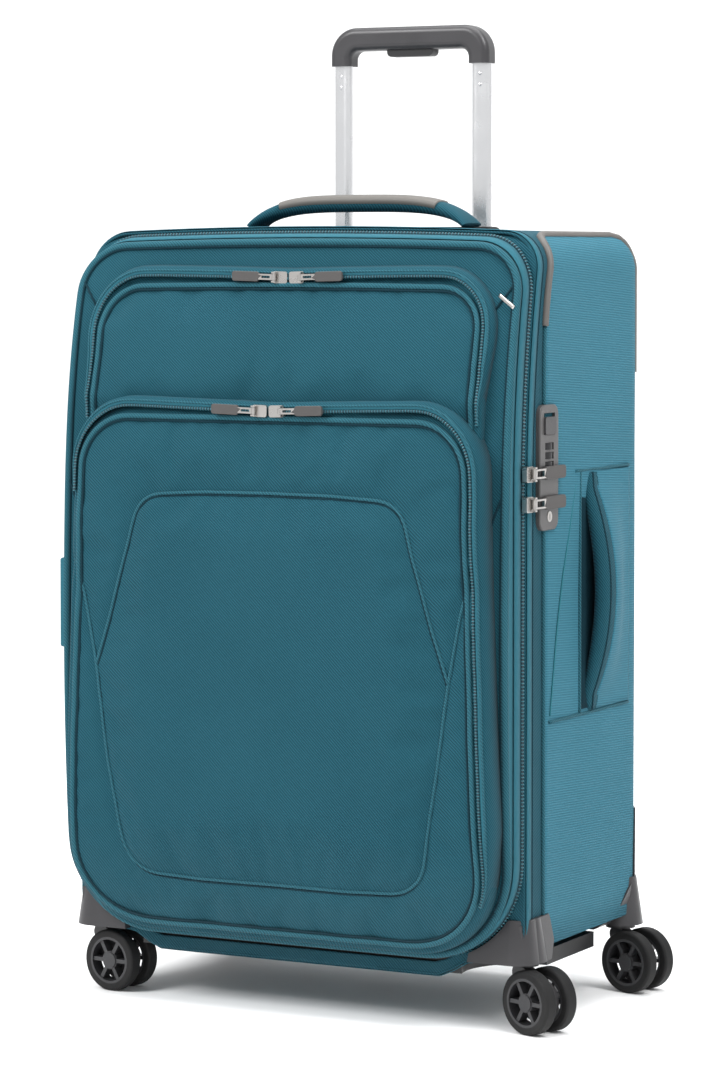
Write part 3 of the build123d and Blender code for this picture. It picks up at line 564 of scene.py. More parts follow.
back_fabric = loop_panel("back_fabric", back_loop, SIDE_WEAVE, -BODY_SKIN)
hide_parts("back_panel")
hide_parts("side_panel_left", "side_panel_right", "top_panel", "base_panel")
for piece in (body_fabric, back_fabric):
    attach(piece, "case")
print("body fabric", len(body_fabric.data.vertices))

# %% [markdown]
# The rim is the face that shows round the lid: a narrow strip at the sides, wider above, and a triangle in
# each lower corner, where the lid's corner is much rounder than the body's. Two outlines with the same
# number of points are simply joined.

# %% rim
def lid_outline(grow=0.0):
    """The lid's outline seen from the front."""
    return outline(lid_high.x, lid_low.z, LID_HIGH, LID_RADII, grow)


outer = outline(SIDE_X, BASE_Z, TOP_Z, BODY_RADII, -0.4 * MM)
inner = rise_to_seam(lid_outline(-2 * MM))
EDGE_R = 14 * MM
strip = []
for k in range(9):
    t = k / 8
    ring = inner * (1 - t) + outer * t
    drop = np.clip((ring[:, 1] - (TOP_Z - EDGE_R)) / EDGE_R, 0, 1)
    rounding = EDGE_R * (1 - np.sqrt(1 - drop**2 * 0.98))
    strip.append(np.column_stack([ring[:, 0], seam_y(ring[:, 1]) + rounding * t, ring[:, 1]]))
rim_fabric = mesh_object("rim_fabric", np.concatenate(strip), grid_faces(9, len(outer), True),
                         FRONT_TWILL, -BODY_SKIN)
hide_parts("front_rim")
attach(rim_fabric, "case")

# %% [markdown]
# ## Side panels
# On each side a lighter woven panel is let into the band. Grey piping runs over its top and turns down its
# front edge, then goes on in teal to the wheel housing.

# %% side panels and their piping
ARC_Z = TOP_Z - BODY_RADII[1]
WRAP = math.radians(66)
PANEL_TOP = ARC_Z + BODY_RADII[1] * WRAP
PANEL_REAR_R = 24 * MM
PANEL_LIFT = 0.8 * MM          # side piping above the body
REAR_GREY_END = 0.545          # height where the grey piping down the rear edge stops


def on_body(side, y, run, lift=0.0):
    """A point on the body's side, at a depth and a run of cloth up the side and over the top corner."""
    turn = max(0.0, y - (BACK_Y - REAR_R))
    inset = REAR_R - math.sqrt(max(0.0, REAR_R**2 - turn**2))
    radius = BODY_RADII[1] - inset + lift
    middle = SIDE_X - BODY_RADII[1]
    if run <= ARC_Z:
        return side * (middle + radius), y, run
    angle = (run - ARC_Z) / BODY_RADII[1]
    return side * (middle + radius * math.cos(angle)), y, ARC_Z + radius * math.sin(angle)


def corner_fall(run, radius):
    """How far a rounded corner of the panel falls back near its top."""
    share = np.clip((run - PANEL_TOP + radius) / radius, 0, 1)
    return radius * (1 - math.sqrt(max(0.0, 1 - share**2)))


def side_panel_front(run):
    """Depth of the side panel's front edge: upright, then curving back to a rounded corner."""
    start = 0.56
    t = np.clip((run - start) / (PANEL_TOP - start), 0, 1)
    return -66 * MM + 24 * MM * t**2 + corner_fall(run, 14 * MM)


def side_panel_rear(run):
    """Depth of the side panel's rear edge, with a rounded corner at the top."""
    return BACK_Y - 6 * MM - corner_fall(run, PANEL_REAR_R)


def side_panel(name, side):
    """The woven panel let into one side, and its piping."""
    low = BASE_Z + 10 * MM
    rows, columns = 60, 24
    points = []
    for i in range(rows):
        run = low + (PANEL_TOP - low) * (i / (rows - 1)) ** 0.8
        near, far = side_panel_front(run), side_panel_rear(run)
        for j in range(columns):
            t = j / (columns - 1)
            y = near + (far - near) * t
            fade = math.sin(math.pi * t) * math.sin(math.pi * i / (rows - 1))
            push = 1.3 * MM * fade * (0.5 + ripple((side, y, run), 0.09, 11))
            points.append(on_body(side, y, run, 1.3 * MM + push))
    panel = mesh_object(name, points, grid_faces(rows, columns), SIDE_WEAVE, 0.6 * MM * side)
    runs = np.concatenate([np.linspace(low + 26 * MM, 0.585, 20), np.linspace(0.59, PANEL_TOP, 26)])
    front = [on_body(side, side_panel_front(run), run, PANEL_LIFT) for run in runs]
    over = np.linspace(side_panel_front(PANEL_TOP), side_panel_rear(PANEL_TOP), 16)[1:]
    rear_runs = np.linspace(PANEL_TOP, REAR_GREY_END, 34)[1:]
    rear = [on_body(side, side_panel_rear(run), run, PANEL_LIFT) for run in rear_runs]
    grey_path = front[20:] + [on_body(side, y, PANEL_TOP, PANEL_LIFT) for y in over] + rear
    teal = tube(f"{name}_piping_teal", front[:21], 1.8 * MM, PIPING_TEAL)
    grey = tube(f"{name}_piping_grey", grey_path, 3.5 * MM, GREY_PIPING)
    lower_y = side_panel_rear(REAR_GREY_END)
    lower_runs = np.linspace(REAR_GREY_END - 2 * MM, low + 100 * MM, 30)
    lower = [on_body(side, lower_y, run, PANEL_LIFT) for run in lower_runs]
    edge = tube(f"{name}_piping_rear", lower, 1.2 * MM, PIPING_TEAL)
    for piece in (panel, teal, grey, edge):
        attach(piece, "case")


for label, side in (("right", 1), ("left", -1)):
    side_panel(f"side_weave_{label}", side)
print("side panels made")

# %% [markdown]
# ## Zip round the lid
# A band of smooth tape lies each side of the parting line. The coil is a row of small arches: here it is a
# tube whose radius swells at each tooth, which keeps the teeth as real geometry.

# %% tapes and coil
def seam_ring(grow, depth):
    """A ring round the lid, at a distance outside its outline and behind the parting line."""
    flat = rise_to_seam(lid_outline(grow), 1 + min(0.0, depth) / (24 * MM))
    return np.column_stack([flat[:, 0], seam_y(flat[:, 1]) + depth, flat[:, 1]])


def tape(name, body, rings):
    """A strip of zip tape through a few rings."""
    strip = mesh_object(name, np.concatenate(rings), grid_faces(len(rings), len(rings[0]), True),
                        TAPE_TEAL, 0.5 * MM)
    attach(strip, body)
    return strip


def coil(name, path, body, radius=1.9 * MM, pitch=3.0 * MM, closed=False):
    """A zip coil: a tube along a path, swollen once per tooth, with a painted highlight: each tooth's crest
    is lighter.
    """
    path = [Vector(p) for p in path]
    if closed:
        path.append(path[0])
    lengths = np.cumsum([0] + [(b - a).length for a, b in zip(path, path[1:])])
    count = int(lengths[-1] / pitch * 4)
    marks = np.linspace(0, lengths[-1], count)
    coords = np.array([tuple(p) for p in path])
    dense = np.column_stack([np.interp(marks, lengths, coords[:, k]) for k in range(3)])
    chain = tube(name, dense, radius, COIL_DARK, sides=6)
    chain.data.materials.append(TOOTH_CREST_HIGHLIGHT)
    centres = np.repeat(dense, 6, axis=0)
    swell = np.repeat(np.tile([1.0, 1.0, 0.6, 0.6], count // 4 + 1)[:count], 6)
    moved = centres + (np.array([tuple(v.co) for v in chain.data.vertices]) - centres) * swell[:, None]
    chain.data.vertices.foreach_set("co", moved.ravel())
    # The crest row of each tooth takes the lighter material: a painted highlight.
    for polygon in chain.data.polygons:
        polygon.material_index = 1 if (polygon.index // 6) % 4 == 0 else 0
    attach(chain, body)
    return chain


TAPE_W = 12 * MM
BODY_TAPE = [(2.0, 0.9), (6.0, 1.2), (TAPE_W / MM, 0.5)]
body_rings = []
for depth, grow in BODY_TAPE:
    flat = outline(SIDE_X, BASE_Z, TOP_Z, BODY_RADII, grow * MM)
    body_rings.append(np.column_stack([flat[:, 0], seam_y(flat[:, 1]) + depth * MM, flat[:, 1]]))
main_tape_body = tape("main_tape_body", "case", body_rings)
main_tape_lid = tape("main_tape_lid", "lid", [seam_ring(1.0 * MM, -17 * MM), seam_ring(1.6 * MM, -11 * MM),
                                              seam_ring(1.2 * MM, -5.5 * MM)])
main_coil = coil("main_coil", seam_ring(1.6 * MM, -2.2 * MM), "lid", closed=True)
# Near-black cords in the gap on each side of the coil, and one along the rear edge of the body's tape:
# painted shade.
shade = {"case": (2.4, 0.2), "lid": (-4.6, 1.0)}
for body, (depth, grow) in shade.items():
    gap = tube(f"zip_groove_{body}", seam_ring(grow * MM, depth * MM), 1.1 * MM, SEAM_SHADE,
               closed=True, sides=6)
    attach(gap, body)
flat = outline(SIDE_X, BASE_Z, TOP_Z, BODY_RADII, 0.6 * MM)
hem = np.column_stack([flat[:, 0], seam_y(flat[:, 1]) + TAPE_W + 1 * MM, flat[:, 1]])
hem_shade_cord = tube("zip_hem_case", hem, 1.0 * MM, SEAM_SHADE, closed=True, sides=6)
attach(hem_shade_cord, "case")
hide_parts("zip_chain")
print("coil points", len(main_coil.data.vertices))


# %% [markdown]
# ## Lid and pockets
# The front of the lid and of each pocket is a grid whose border is pulled onto the rounded outline, so the
# middle keeps square, even quads that can be puffed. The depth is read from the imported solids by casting
# a ray at each point.

# %% front skins
def rounded_grid(half_w, low, high, radii, columns, rows):
    """Grid points (x, z) whose border follows a rounded rectangle."""
    u, v = np.meshgrid(np.linspace(-1, 1, columns), np.linspace(-1, 1, rows))
    middle, half_h = (low + high) / 2, (high - low) / 2
    reach = np.maximum(np.maximum(abs(u), abs(v)), 1e-6)
    edge_x, edge_z = u / reach * half_w, middle + v / reach * half_h
    radius = np.where(edge_z > middle, radii[1], radii[0])
    corner_x = half_w - radius
    corner_z = np.where(edge_z > middle, high - radius, low + radius)
    dx = abs(edge_x) - corner_x
    dz = np.where(edge_z > middle, edge_z - corner_z, corner_z - edge_z)
    in_corner = (dx > 0) & (dz > 0)
    shrink = np.where(in_corner, radius / np.maximum(np.hypot(dx, dz), 1e-6), 1)
    round_x = np.where(in_corner, np.sign(edge_x) * (corner_x + dx * shrink), edge_x)
    sign_z = np.where(edge_z > middle, 1, -1)
    round_z = np.where(in_corner, corner_z + sign_z * dz * shrink, edge_z)
    pull = reach**4
    x = u * half_w + (round_x - edge_x) * pull
    z = middle + v * half_h + (round_z - edge_z) * pull
    return x, z


def flared(z, half_w, low, high, flare):
    """How much wider a piece is at a height, when its foot flares out."""
    return 1 + flare / half_w * np.clip((high - z) / (high - low), 0, 1)


def border_loop(rows, columns):
    """Indices of a grid's border, in order."""
    low = [j for j in range(columns)]
    right = [i * columns + columns - 1 for i in range(1, rows)]
    top = [(rows - 1) * columns + j for j in range(columns - 2, -1, -1)]
    left = [i * columns for i in range(rows - 2, 0, -1)]
    return low + right + top + left


def front_skin(name, node, half_w, low, high, radii, columns, rows, material, wall_y, shape=None,
               lip=3 * MM, flare=0.0, wall_rise=False, wall_material=None):
    """Front of a padded piece with rounded edges, and its side wall back to wall_y(z)."""
    x, z = rounded_grid(half_w - lip, low + lip, high - lip, tuple(max(r - lip, MM) for r in radii),
                        columns, rows)
    x = x * flared(z, half_w, low, high, flare)
    touch = probe(node, (0, 1, 0))
    node_low, node_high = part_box(node)
    points = []
    middle = (low + high) / 2
    for px, pz in zip(x.ravel(), z.ravel()):
        seen_z = np.clip(middle + (pz - middle) * 0.995, node_low.z + 2 * MM, node_high.z - 1.5 * MM)
        found = touch((px * 0.99, 0, seen_z)) or touch((px * 0.95, 0, seen_z))
        points.append([px, found.y if found else wall_y(pz) - 6 * MM, pz])
    points = np.array(points)
    if shape is not None:
        points[:, 1] -= shape(points)
    loop = border_loop(rows, columns)
    edge = points[loop]
    faces = grid_faces(rows, columns)
    rings = [np.array(loop)]
    extra = []
    following = np.roll(edge[:, [0, 2]], -1, axis=0) - np.roll(edge[:, [0, 2]], 1, axis=0)
    normal = np.column_stack([following[:, 1], -following[:, 0]])
    normal /= np.linalg.norm(normal, axis=1)[:, None]
    walls = np.array([float(wall_y(pz)) for pz in edge[:, 2]])
    steps = [(0.5, 0.13), (0.87, 0.5), (1.0, 1.0)]
    for out, back in steps:
        ring = edge.copy()
        ring[:, [0, 2]] += normal * lip * out
        ring[:, 1] += lip * back
        extra.append(ring)
    for t in (0.35, 0.7, 1.0):
        ring = extra[2].copy()
        ring[:, 1] += (walls - ring[:, 1]) * t
        if wall_rise:
            ring[:, [0, 2]] = rise_to_seam(ring[:, [0, 2]], t)
        extra.append(ring)
    start = len(points)
    count = len(loop)
    previous = loop
    for ring in extra:
        current = list(range(start, start + count))
        points = np.vstack([points, ring])
        for k in range(count):
            n = (k + 1) % count
            faces.append((previous[k], previous[n], current[n], current[k])[::-1])
        previous = current
        start += count
    piece = mesh_object(name, points, faces, material)
    if wall_material is not None:
        piece.data.materials.append(wall_material)
        for polygon in piece.data.polygons:
            polygon.material_index = int(polygon.index >= (rows - 1) * (columns - 1) + 3 * count)
    fix_normals(piece)
    return piece


def thicken(piece, thickness):
    """Give a skin its thickness, inwards."""
    solid = piece.modifiers.new("thickness", "SOLIDIFY")
    solid.thickness = thickness
    solid.offset = -1


def fix_normals(piece):
    """Point every face outwards, away from the case."""
    work = bmesh.new()
    work.from_mesh(piece.data)
    bmesh.ops.recalc_face_normals(work, faces=work.faces)
    if sum(f.normal.y * f.calc_area() for f in work.faces) > 0:
        bmesh.ops.reverse_faces(work, faces=work.faces)
    work.to_mesh(piece.data)
    work.free()


def lid_dents(points):
    """Soft unevenness of the lid's fabric, none at its border."""
    edge = np.minimum(1, (lid_high.x - abs(points[:, 0])) / 0.02)
    return np.array([0.8 * MM * e * ripple(p, 0.08, 21) for p, e in zip(points, edge)])


lid_fabric = front_skin("lid_fabric", "lid_panel", lid_high.x, lid_low.z, LID_HIGH, LID_RADII, 50, 70,
                        FRONT_TWILL, lambda z: seam_y(z) - 0.8 * MM, lid_dents, wall_rise=True,
                        wall_material=TAPE_TEAL)
thicken(lid_fabric, 1.8 * MM)
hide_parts("lid_panel")
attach(lid_fabric, "lid")
print("lid", len(lid_fabric.data.vertices))

# %% [markdown]
# The lid's piping follows its front edge. Its depth comes from the lid's solid, so it bends back at the
# top and the bottom as the lid does.

# %% piping round the lid and pockets
def front_depth(node, fallback):
    """Depth of a node's front at a point seen from the front."""
    touch = probe(node, (0, 1, 0))

    def depth(x, z, shrink=0.985):
        low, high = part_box(node)
        middle = (low.z + high.z) / 2
        seen_z = np.clip(middle + (z - middle) * shrink, low.z + 2 * MM, high.z - 1.5 * MM)
        found = touch((x * shrink, 0, seen_z))
        return found.y if found else fallback

    return depth


def front_piping(name, node, points, radius, material, lift, closed=True, body="lid"):
    """Piping along points seen from the front, resting on a node's front face."""
    depth = front_depth(node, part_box(node)[0].y)
    path = [(x, depth(x, z) - lift, z) for x, z in points]
    cord = tube(name, path, radius, material, closed=closed)
    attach(cord, body)
    return cord


front_piping("lid_piping", "lid_panel", lid_outline(-1.2 * MM), 3.3 * MM, PIPING_TEAL, -1.0 * MM)
# The thin near-black cord along the inner edge of the lid's piping and the short dark dart lines at the lid's
# corners are painted shade in these creases.
front_piping("lid_piping_seam", "lid_panel", lid_outline(-4.6 * MM), 0.9 * MM, SEAM_SHADE, 0.4 * MM)
for side in (1, -1):
    corners = {"upper": [(208 * MM, 627 * MM), (187 * MM, 596 * MM)],
               "lower": [(209 * MM, 452 * MM), (200 * MM, 430 * MM), (193 * MM, 404 * MM)]}
    for label, path in corners.items():
        front_piping(f"lid_dart_{label}_{'right' if side > 0 else 'left'}", "lid_panel",
                     [(side * x, z) for x, z in path], 1.0 * MM, SEAM_SHADE, 0.2 * MM, closed=False)

# %% [markdown]
# ## The two pockets
# Each pocket is a padded panel. The lower one has two sewn seams that arch and cross it: the fabric is
# drawn in along them and puffs up between them. A short cloth simulation, held at the border and at the
# seams, gives the puffing and the small pulls beside each seam.

# %% seams of the lower pocket
lower_low, lower_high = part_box("lower_pocket")
upper_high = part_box("upper_pocket")[1]


def arc_points(cx, cz, r, start, end, steps=8):
    """Points on an arc, by its centre and two angles in degrees."""
    angles = np.radians(np.linspace(start, end, steps))
    return [(cx + r * math.cos(a), cz + r * math.sin(a)) for a in angles]


def mirrored(half):
    """A path from the middle out to the right, with its mirror image first."""
    return [(-x, z) for x, z in reversed(half)] + half[1:]


KNEE = (169 * MM, 295 * MM)
arch_half = [(0, 447 * MM), (60 * MM, 446.5 * MM), (104 * MM, 444 * MM)]
arch_half += arc_points(104 * MM, 417 * MM, 27 * MM, 85, 10, 7)
arch_half += [(136 * MM, 400 * MM), (143 * MM, 378 * MM), (155 * MM, 337 * MM), KNEE]
bowl_half = [(0, 115 * MM), (70 * MM, 114.5 * MM), (108 * MM, 116 * MM)]
bowl_half += arc_points(112 * MM, 150 * MM, 34 * MM, -80, -5, 7)
bowl_half += [(151 * MM, 178 * MM), (158 * MM, 215 * MM), KNEE, (180 * MM, 352 * MM), (189 * MM, 384 * MM)]
ARCH = mirrored(arch_half)
BOWL = mirrored(bowl_half)


def distance_to(path, x, z):
    """Shortest distance from points to a broken line."""
    best = np.full(len(x), 9.0)
    for (ax, az), (bx, bz) in zip(path, path[1:]):
        dx, dz = bx - ax, bz - az
        t = np.clip(((x - ax) * dx + (z - az) * dz) / (dx * dx + dz * dz), 0, 1)
        best = np.minimum(best, np.hypot(x - ax - t * dx, z - az - t * dz))
    return best


def lower_shape(points):
    """How far the lower pocket stands proud of its solid: puffed panels, drawn-in seams."""
    x, z = points[:, 0], points[:, 2]
    seam = np.minimum(distance_to(ARCH, x, z), distance_to(BOWL, x, z))
    groove = 3.2 * MM * np.exp(-((seam / (5.5 * MM)) ** 2))
    half_w = lower_high.x
    edge = np.minimum(np.minimum(half_w - abs(x), z - lower_low.z), lower_high.z - z).clip(0)
    dome = 5.0 * MM * np.clip(1 - (x / half_w) ** 2, 0, 1) * np.clip(edge / 0.06, 0, 1)
    soft = np.array([ripple(p, 0.09, 31) + 0.5 * ripple(p, 0.035, 37) for p in points])
    return dome - groove + 1.2 * MM * soft * np.clip(edge / 0.02, 0, 1) * np.clip(seam / 0.012, 0.1, 1)


def upper_shape(points):
    """The upper pocket is flatter, and dips beside its edges."""
    x, z = points[:, 0], points[:, 2]
    edge = np.minimum(upper_high.x - abs(x), upper_high.z - z)
    soft = np.array([ripple(p, 0.1, 41) for p in points])
    return 1.6 * MM * np.clip(edge / 0.04, 0, 1) + 0.9 * MM * soft * np.clip(edge / 0.02, 0, 1)


# %% pocket skins
def puff(piece, held, pressure, cap, frames=16):
    """Cloth simulation with some points held; no point moves further than the cap."""
    before = np.array([tuple(v.co) for v in piece.data.vertices])
    group = piece.vertex_groups.new(name="held")
    group.add([int(i) for i in held], 1.0, "REPLACE")
    cloth = piece.modifiers.new("cloth", "CLOTH")
    cloth.settings.vertex_group_mass = "held"
    cloth.settings.use_pressure = True
    cloth.settings.uniform_pressure_force = pressure
    cloth.settings.shrink_min = -0.012
    cloth.settings.quality = 4
    cloth.settings.effector_weights.gravity = 0
    cloth.collision_settings.use_collision = False
    cloth.point_cache.frame_end = frames
    for step in range(1, frames + 1):
        bpy.context.scene.frame_set(step)
    shown = piece.evaluated_get(bpy.context.evaluated_depsgraph_get())
    after = np.array([tuple(v.co) for v in shown.data.vertices])[:len(before)]
    piece.modifiers.remove(cloth)
    bpy.context.scene.frame_set(1)
    moved = after - before
    size = np.linalg.norm(moved, axis=1)
    moved *= np.minimum(1, cap / np.maximum(size, 1e-9))[:, None]
    piece.data.vertices.foreach_set("co", (before + moved).ravel())
    piece.data.update()
    print(piece.name, "puffed by up to", round(float(size.max()) * 1000, 1), "mm")


POCKET_HALF = upper_high.x
UPPER_LOW = lower_high.z - 30 * MM      # the upper pocket's fabric tucks in behind the lower one
UPPER = (POCKET_HALF, UPPER_LOW, upper_high.z, UPPER_RADII, 0.0)
LOWER = (POCKET_HALF, lower_low.z, lower_high.z, LOWER_RADII, LOWER_FLARE)


def pocket(name, node, edges, columns, rows, shape, lip):
    """A pocket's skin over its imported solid, back to the lid."""
    half_w, low, high, radii, flare = edges
    back = front_depth("lid_panel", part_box(node)[1].y)
    return front_skin(name, node, half_w, low, high, radii, columns, rows, FRONT_TWILL,
                      lambda z: back(0, z) + 0.5 * MM, shape, lip, flare)


def hold_and_puff(piece, held_mask, pressure, cap):
    puff(piece, np.nonzero(held_mask)[0], pressure, cap)
    thicken(piece, 1.4 * MM)
    fine = piece.modifiers.new("fine", "SUBSURF")
    fine.levels = 1
    fine.render_levels = 1


lower_skin = pocket("lower_pocket_fabric", "lower_pocket", LOWER, 78, 90, lower_shape, 5 * MM)
co = np.array([tuple(v.co) for v in lower_skin.data.vertices])
seams = np.minimum(distance_to(ARCH, co[:, 0], co[:, 2]), distance_to(BOWL, co[:, 0], co[:, 2]))
hold_and_puff(lower_skin, (seams < 2.6 * MM) | (np.arange(len(co)) >= 78 * 90), 3.0, 5 * MM)
upper_skin = pocket("upper_pocket_fabric", "upper_pocket", UPPER, 70, 24, upper_shape, 3 * MM)
count = len(upper_skin.data.vertices)
hold_and_puff(upper_skin, np.arange(count) >= 70 * 24, 1.5, 3 * MM)
for piece, node in ((lower_skin, "lower_pocket"), (upper_skin, "upper_pocket")):
    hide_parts(node)
    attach(piece, "lid")

# %% [markdown]
# Welts cover the sewn seams and the pocket edges. They are placed last, on the finished fabric, so they
# sit in the grooves that the simulation left.

# %% welts and pocket zips
def surface_of(piece):
    """A function that gives the depth of a finished piece's front at a point."""
    tree = BVHTree.FromPolygons([v.co for v in piece.data.vertices],
                                [tuple(p.vertices) for p in piece.data.polygons])

    def depth(x, z, otherwise=None):
        found = tree.ray_cast(Vector((x, -1, z)), Vector((0, 1, 0)))[0]
        return found.y if found else otherwise

    return depth


def resample(path, step):
    """Evenly spaced points along a broken line seen from the front."""
    path = np.array(path)
    lengths = np.concatenate([[0], np.cumsum(np.hypot(*np.diff(path, axis=0).T))])
    marks = np.linspace(0, lengths[-1], max(2, int(lengths[-1] / step)))
    return np.column_stack([np.interp(marks, lengths, path[:, 0]), np.interp(marks, lengths, path[:, 1])])


def smooth_path(path, rounds=3):
    """Soften a sampled path, keeping its ends."""
    path = np.array(path, float)
    for _ in range(rounds):
        path[1:-1] = path[1:-1] * 0.5 + (path[:-2] + path[2:]) * 0.25
    return path


lower_face = surface_of(lower_skin)
upper_face = surface_of(upper_skin)


def welt(name, path, face, radius, material, lift=0.4 * MM, closed=False):
    """A thin welt sewn on a fabric face along a path."""
    flat = resample(path, 5 * MM)
    base = lower_low.y
    points = []
    for x, z in flat:
        base = face(x, z, base)
        points.append((x, base - lift, z))
    points = smooth_path(points, 2)
    cord = tube(name, points, radius, material, closed=closed)
    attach(cord, "lid")
    return cord


for name, path in (("arch_welt", ARCH), ("bowl_welt", BOWL)):
    welt(name, path, lower_face, 1.5 * MM, PIPING_TEAL)
    welt(f"{name}_shade", [(x * 0.992, z - 2.4 * MM) for x, z in path], lower_face, 0.9 * MM, SEAM_SHADE, 0)


def pocket_edge(edges, inset):
    """A pocket's outline, drawn in a little."""
    half_w, low, high, radii, flare = edges
    ring = outline(half_w, low, high, radii, -inset)
    ring[:, 0] *= flared(ring[:, 1], half_w, low, high, flare)
    return ring


def edge_depths(edges, inset, face, start):
    """Depth of the fabric along a pocket's outline, evened out."""
    depths = []
    last = start
    for x, z in pocket_edge(edges, inset):
        last = face(x, z, last)
        depths.append(last)
    depths = np.array(depths)
    for _ in range(3):
        depths = (depths * 2 + np.roll(depths, 1) + np.roll(depths, -1)) / 4
    return depths


def edge_piping(name, edges, face, inset, radius, lift, material=PIPING_TEAL):
    """Piping along a pocket's outline, resting on the fabric just inside it."""
    ring = pocket_edge(edges, inset)
    depths = edge_depths(edges, inset + 3 * MM, face, -0.11)
    cord = tube(name, np.column_stack([ring[:, 0], depths - lift, ring[:, 1]]), radius, material, closed=True)
    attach(cord, "lid")


for name, edges, face in (("lower_pocket", LOWER, lower_face), ("upper_pocket", UPPER, upper_face)):
    edge_piping(f"{name}_piping", edges, face, 8.5 * MM, 2.6 * MM, -0.2 * MM)
    edge_piping(f"{name}_piping_shade", edges, face, 11.8 * MM, 1.0 * MM, 0.1 * MM, SEAM_SHADE)

lid_face = surface_of(lid_fabric)


def pocket_zip(name, edges, face, left_end, right_end):
    """Coil and tape that follow a pocket's outline from one end, over its top, to the other."""
    half_w, low, high, radii, flare = edges
    at_coil = pocket_edge(edges, 3.0 * MM)
    depths = edge_depths(edges, 9 * MM, face, -0.11)
    ends = np.where(at_coil[:, 0] < 0, left_end, right_end)
    kept = np.nonzero(at_coil[:, 1] > ends)[0]
    kept = kept[np.argsort(np.unwrap(np.arctan2(at_coil[kept, 0], at_coil[kept, 1] - (low + high) / 2)))]
    near_top = np.clip((at_coil[kept, 1] - high + 0.05) / 0.05, 0, 1)
    bend = 0.03 * np.clip(abs(at_coil[kept, 0]), 0, 130 * MM) * near_top
    rows = []
    narrow = np.clip((at_coil[kept, 1] - ends[kept]) / (70 * MM), 0.1, 1)[:, None]
    for inset, forward in ((3.0, 0.6), (0.4, 1.6), (-1.6, 1.2), (-4.4, -1.2)):
        ring = at_coil[kept] + (pocket_edge(edges, inset * MM)[kept] - at_coil[kept]) * narrow
        rows.append(np.column_stack([ring[:, 0], depths[kept] - forward * MM, ring[:, 1] + bend]))
    outer = at_coil[kept] + (pocket_edge(edges, -6.2 * MM)[kept] - at_coil[kept]) * narrow
    lid_depths = [lid_face(x * 0.99, min(z, LID_HIGH - 6 * MM), -0.1) for x, z in outer]
    rows.append(np.column_stack([outer[:, 0], lid_depths, outer[:, 1] + bend]))
    strip = mesh_object(f"{name}_tape", np.concatenate(rows), grid_faces(5, len(kept)), TAPE_TEAL, 0.5 * MM)
    strip.data.materials.append(FRONT_TWILL)
    for polygon in strip.data.polygons:
        polygon.material_index = int(polygon.index >= 2 * (len(kept) - 1))
    line = rows[0] + np.array([0, -1.0 * MM, 0])
    coil(f"{name}_coil", line, "lid", 1.5 * MM, 2.6 * MM)
    lip = tube(f"{name}_lip", rows[2] + np.array([0, -0.3 * MM, 0]), 1.0 * MM, PIPING_TEAL, sides=6)
    for piece in (strip, lip):
        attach(piece, "lid")


pocket_zip("upper_zip", UPPER, upper_face, 0.505, 0.505)
pocket_zip("lower_zip", LOWER, lower_face, 0.44, 0.105)

# %% [markdown]
# ## Handles
# The top handle is a padded strap: a flattened section swept along a bow, wide and thin where it is sewn to
# the case and full in the middle, with a grey strip on its top. The side handle is a panel that lifts off
# the case on a padded roll.

# %% top handle
def swept_section(name, centres, half_widths, half_heights, up, across, material, power=2.6, sides=20):
    """Sweep a soft, squared-off oval along centres, with its own size at each of them."""
    points = []
    for centre, half_w, half_h, lift in zip(centres, half_widths, half_heights, up):
        for k in range(sides):
            a = 2 * math.pi * k / sides
            c, s = math.cos(a), math.sin(a)
            w = math.copysign(abs(c) ** (2 / power), c) * half_w
            h = math.copysign(abs(s) ** (2 / power), s) * half_h
            points.append(Vector(centre) + Vector(across) * w + Vector(lift) * h)
    faces = grid_faces(len(centres), sides, True)
    faces += [tuple(range(sides - 1, -1, -1)), tuple(range((len(centres) - 1) * sides, len(centres) * sides))]
    return mesh_object(name, points, faces, material)


handle_low, handle_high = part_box("top_handle")
HANDLE_Y = (handle_low.y + handle_high.y) / 2
HANDLE_HALF = handle_high.x
rise = handle_high.z - TOP_Z


def bow(half, height, x):
    """Height of a shallow arc over its chord."""
    radius = (half**2 + height**2) / (2 * height)
    return height - radius + math.sqrt(max(0.0, radius**2 - x**2))


def arch_top(x):
    """Height of the top handle's upper face: it leaves the case steeply and is nearly level above."""
    share = min(1.0, abs(x) / HANDLE_HALF)
    return TOP_Z + rise * (1 - share**4) ** 0.7


def handle_section(x):
    """Centre, half width, half height and upward direction of the top handle at a place."""
    t = abs(x) / HANDLE_HALF
    ahead, behind = arch_top(x + MM), arch_top(x - MM)
    up = Vector((behind - ahead, 0, 2 * MM)).normalized()
    thick = (14.5 - 8 * t**5) * MM
    half_w = (12.5 + 5.5 * np.clip((t - 0.72) / 0.25, 0, 1) ** 1.3) * MM
    middle = Vector((x, HANDLE_Y, arch_top(x))) - up * thick / 2
    return middle, half_w, thick / 2, up


def handle_sweep(name, reach, grow_w, share, lift, material, power, count=60):
    """Sweep the handle's section, or a band wrapped over its upper part."""
    sections = [handle_section(x) for x in np.sin(np.linspace(-1, 1, count) * math.pi / 2) * reach]
    centres = [middle + up * (half_h * lift) for middle, _, half_h, up in sections]
    return swept_section(name, centres, [w + grow_w for _, w, _, _ in sections],
                         [h * share + grow_w for _, _, h, _ in sections], [up for *_, up in sections],
                         (0, 1, 0), material, power)


top_handle = handle_sweep("top_handle_pad", HANDLE_HALF - 3 * MM, 0, 1.0, 0.0, FRONT_TWILL, 2.4)
top_strip = handle_sweep("top_handle_strip", 78 * MM, 0.8 * MM, 0.66, 0.36, GREY_STRAP, 2.8)
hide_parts("top_handle")
for piece in (top_handle, top_strip):
    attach(piece, "case")
for label, off in (("front", -1), ("rear", 1)):
    row = []
    for x in np.linspace(-76 * MM, 76 * MM, 40):
        middle, half_w, half_h, up = handle_section(x)
        row.append(middle + up * (half_h * 0.98) + Vector((0, off * 8.2 * MM, 0)))
    stitch = tube(f"top_handle_stitch_{label}", row, 0.5 * MM, THREAD, sides=5)
    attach(stitch, "case")

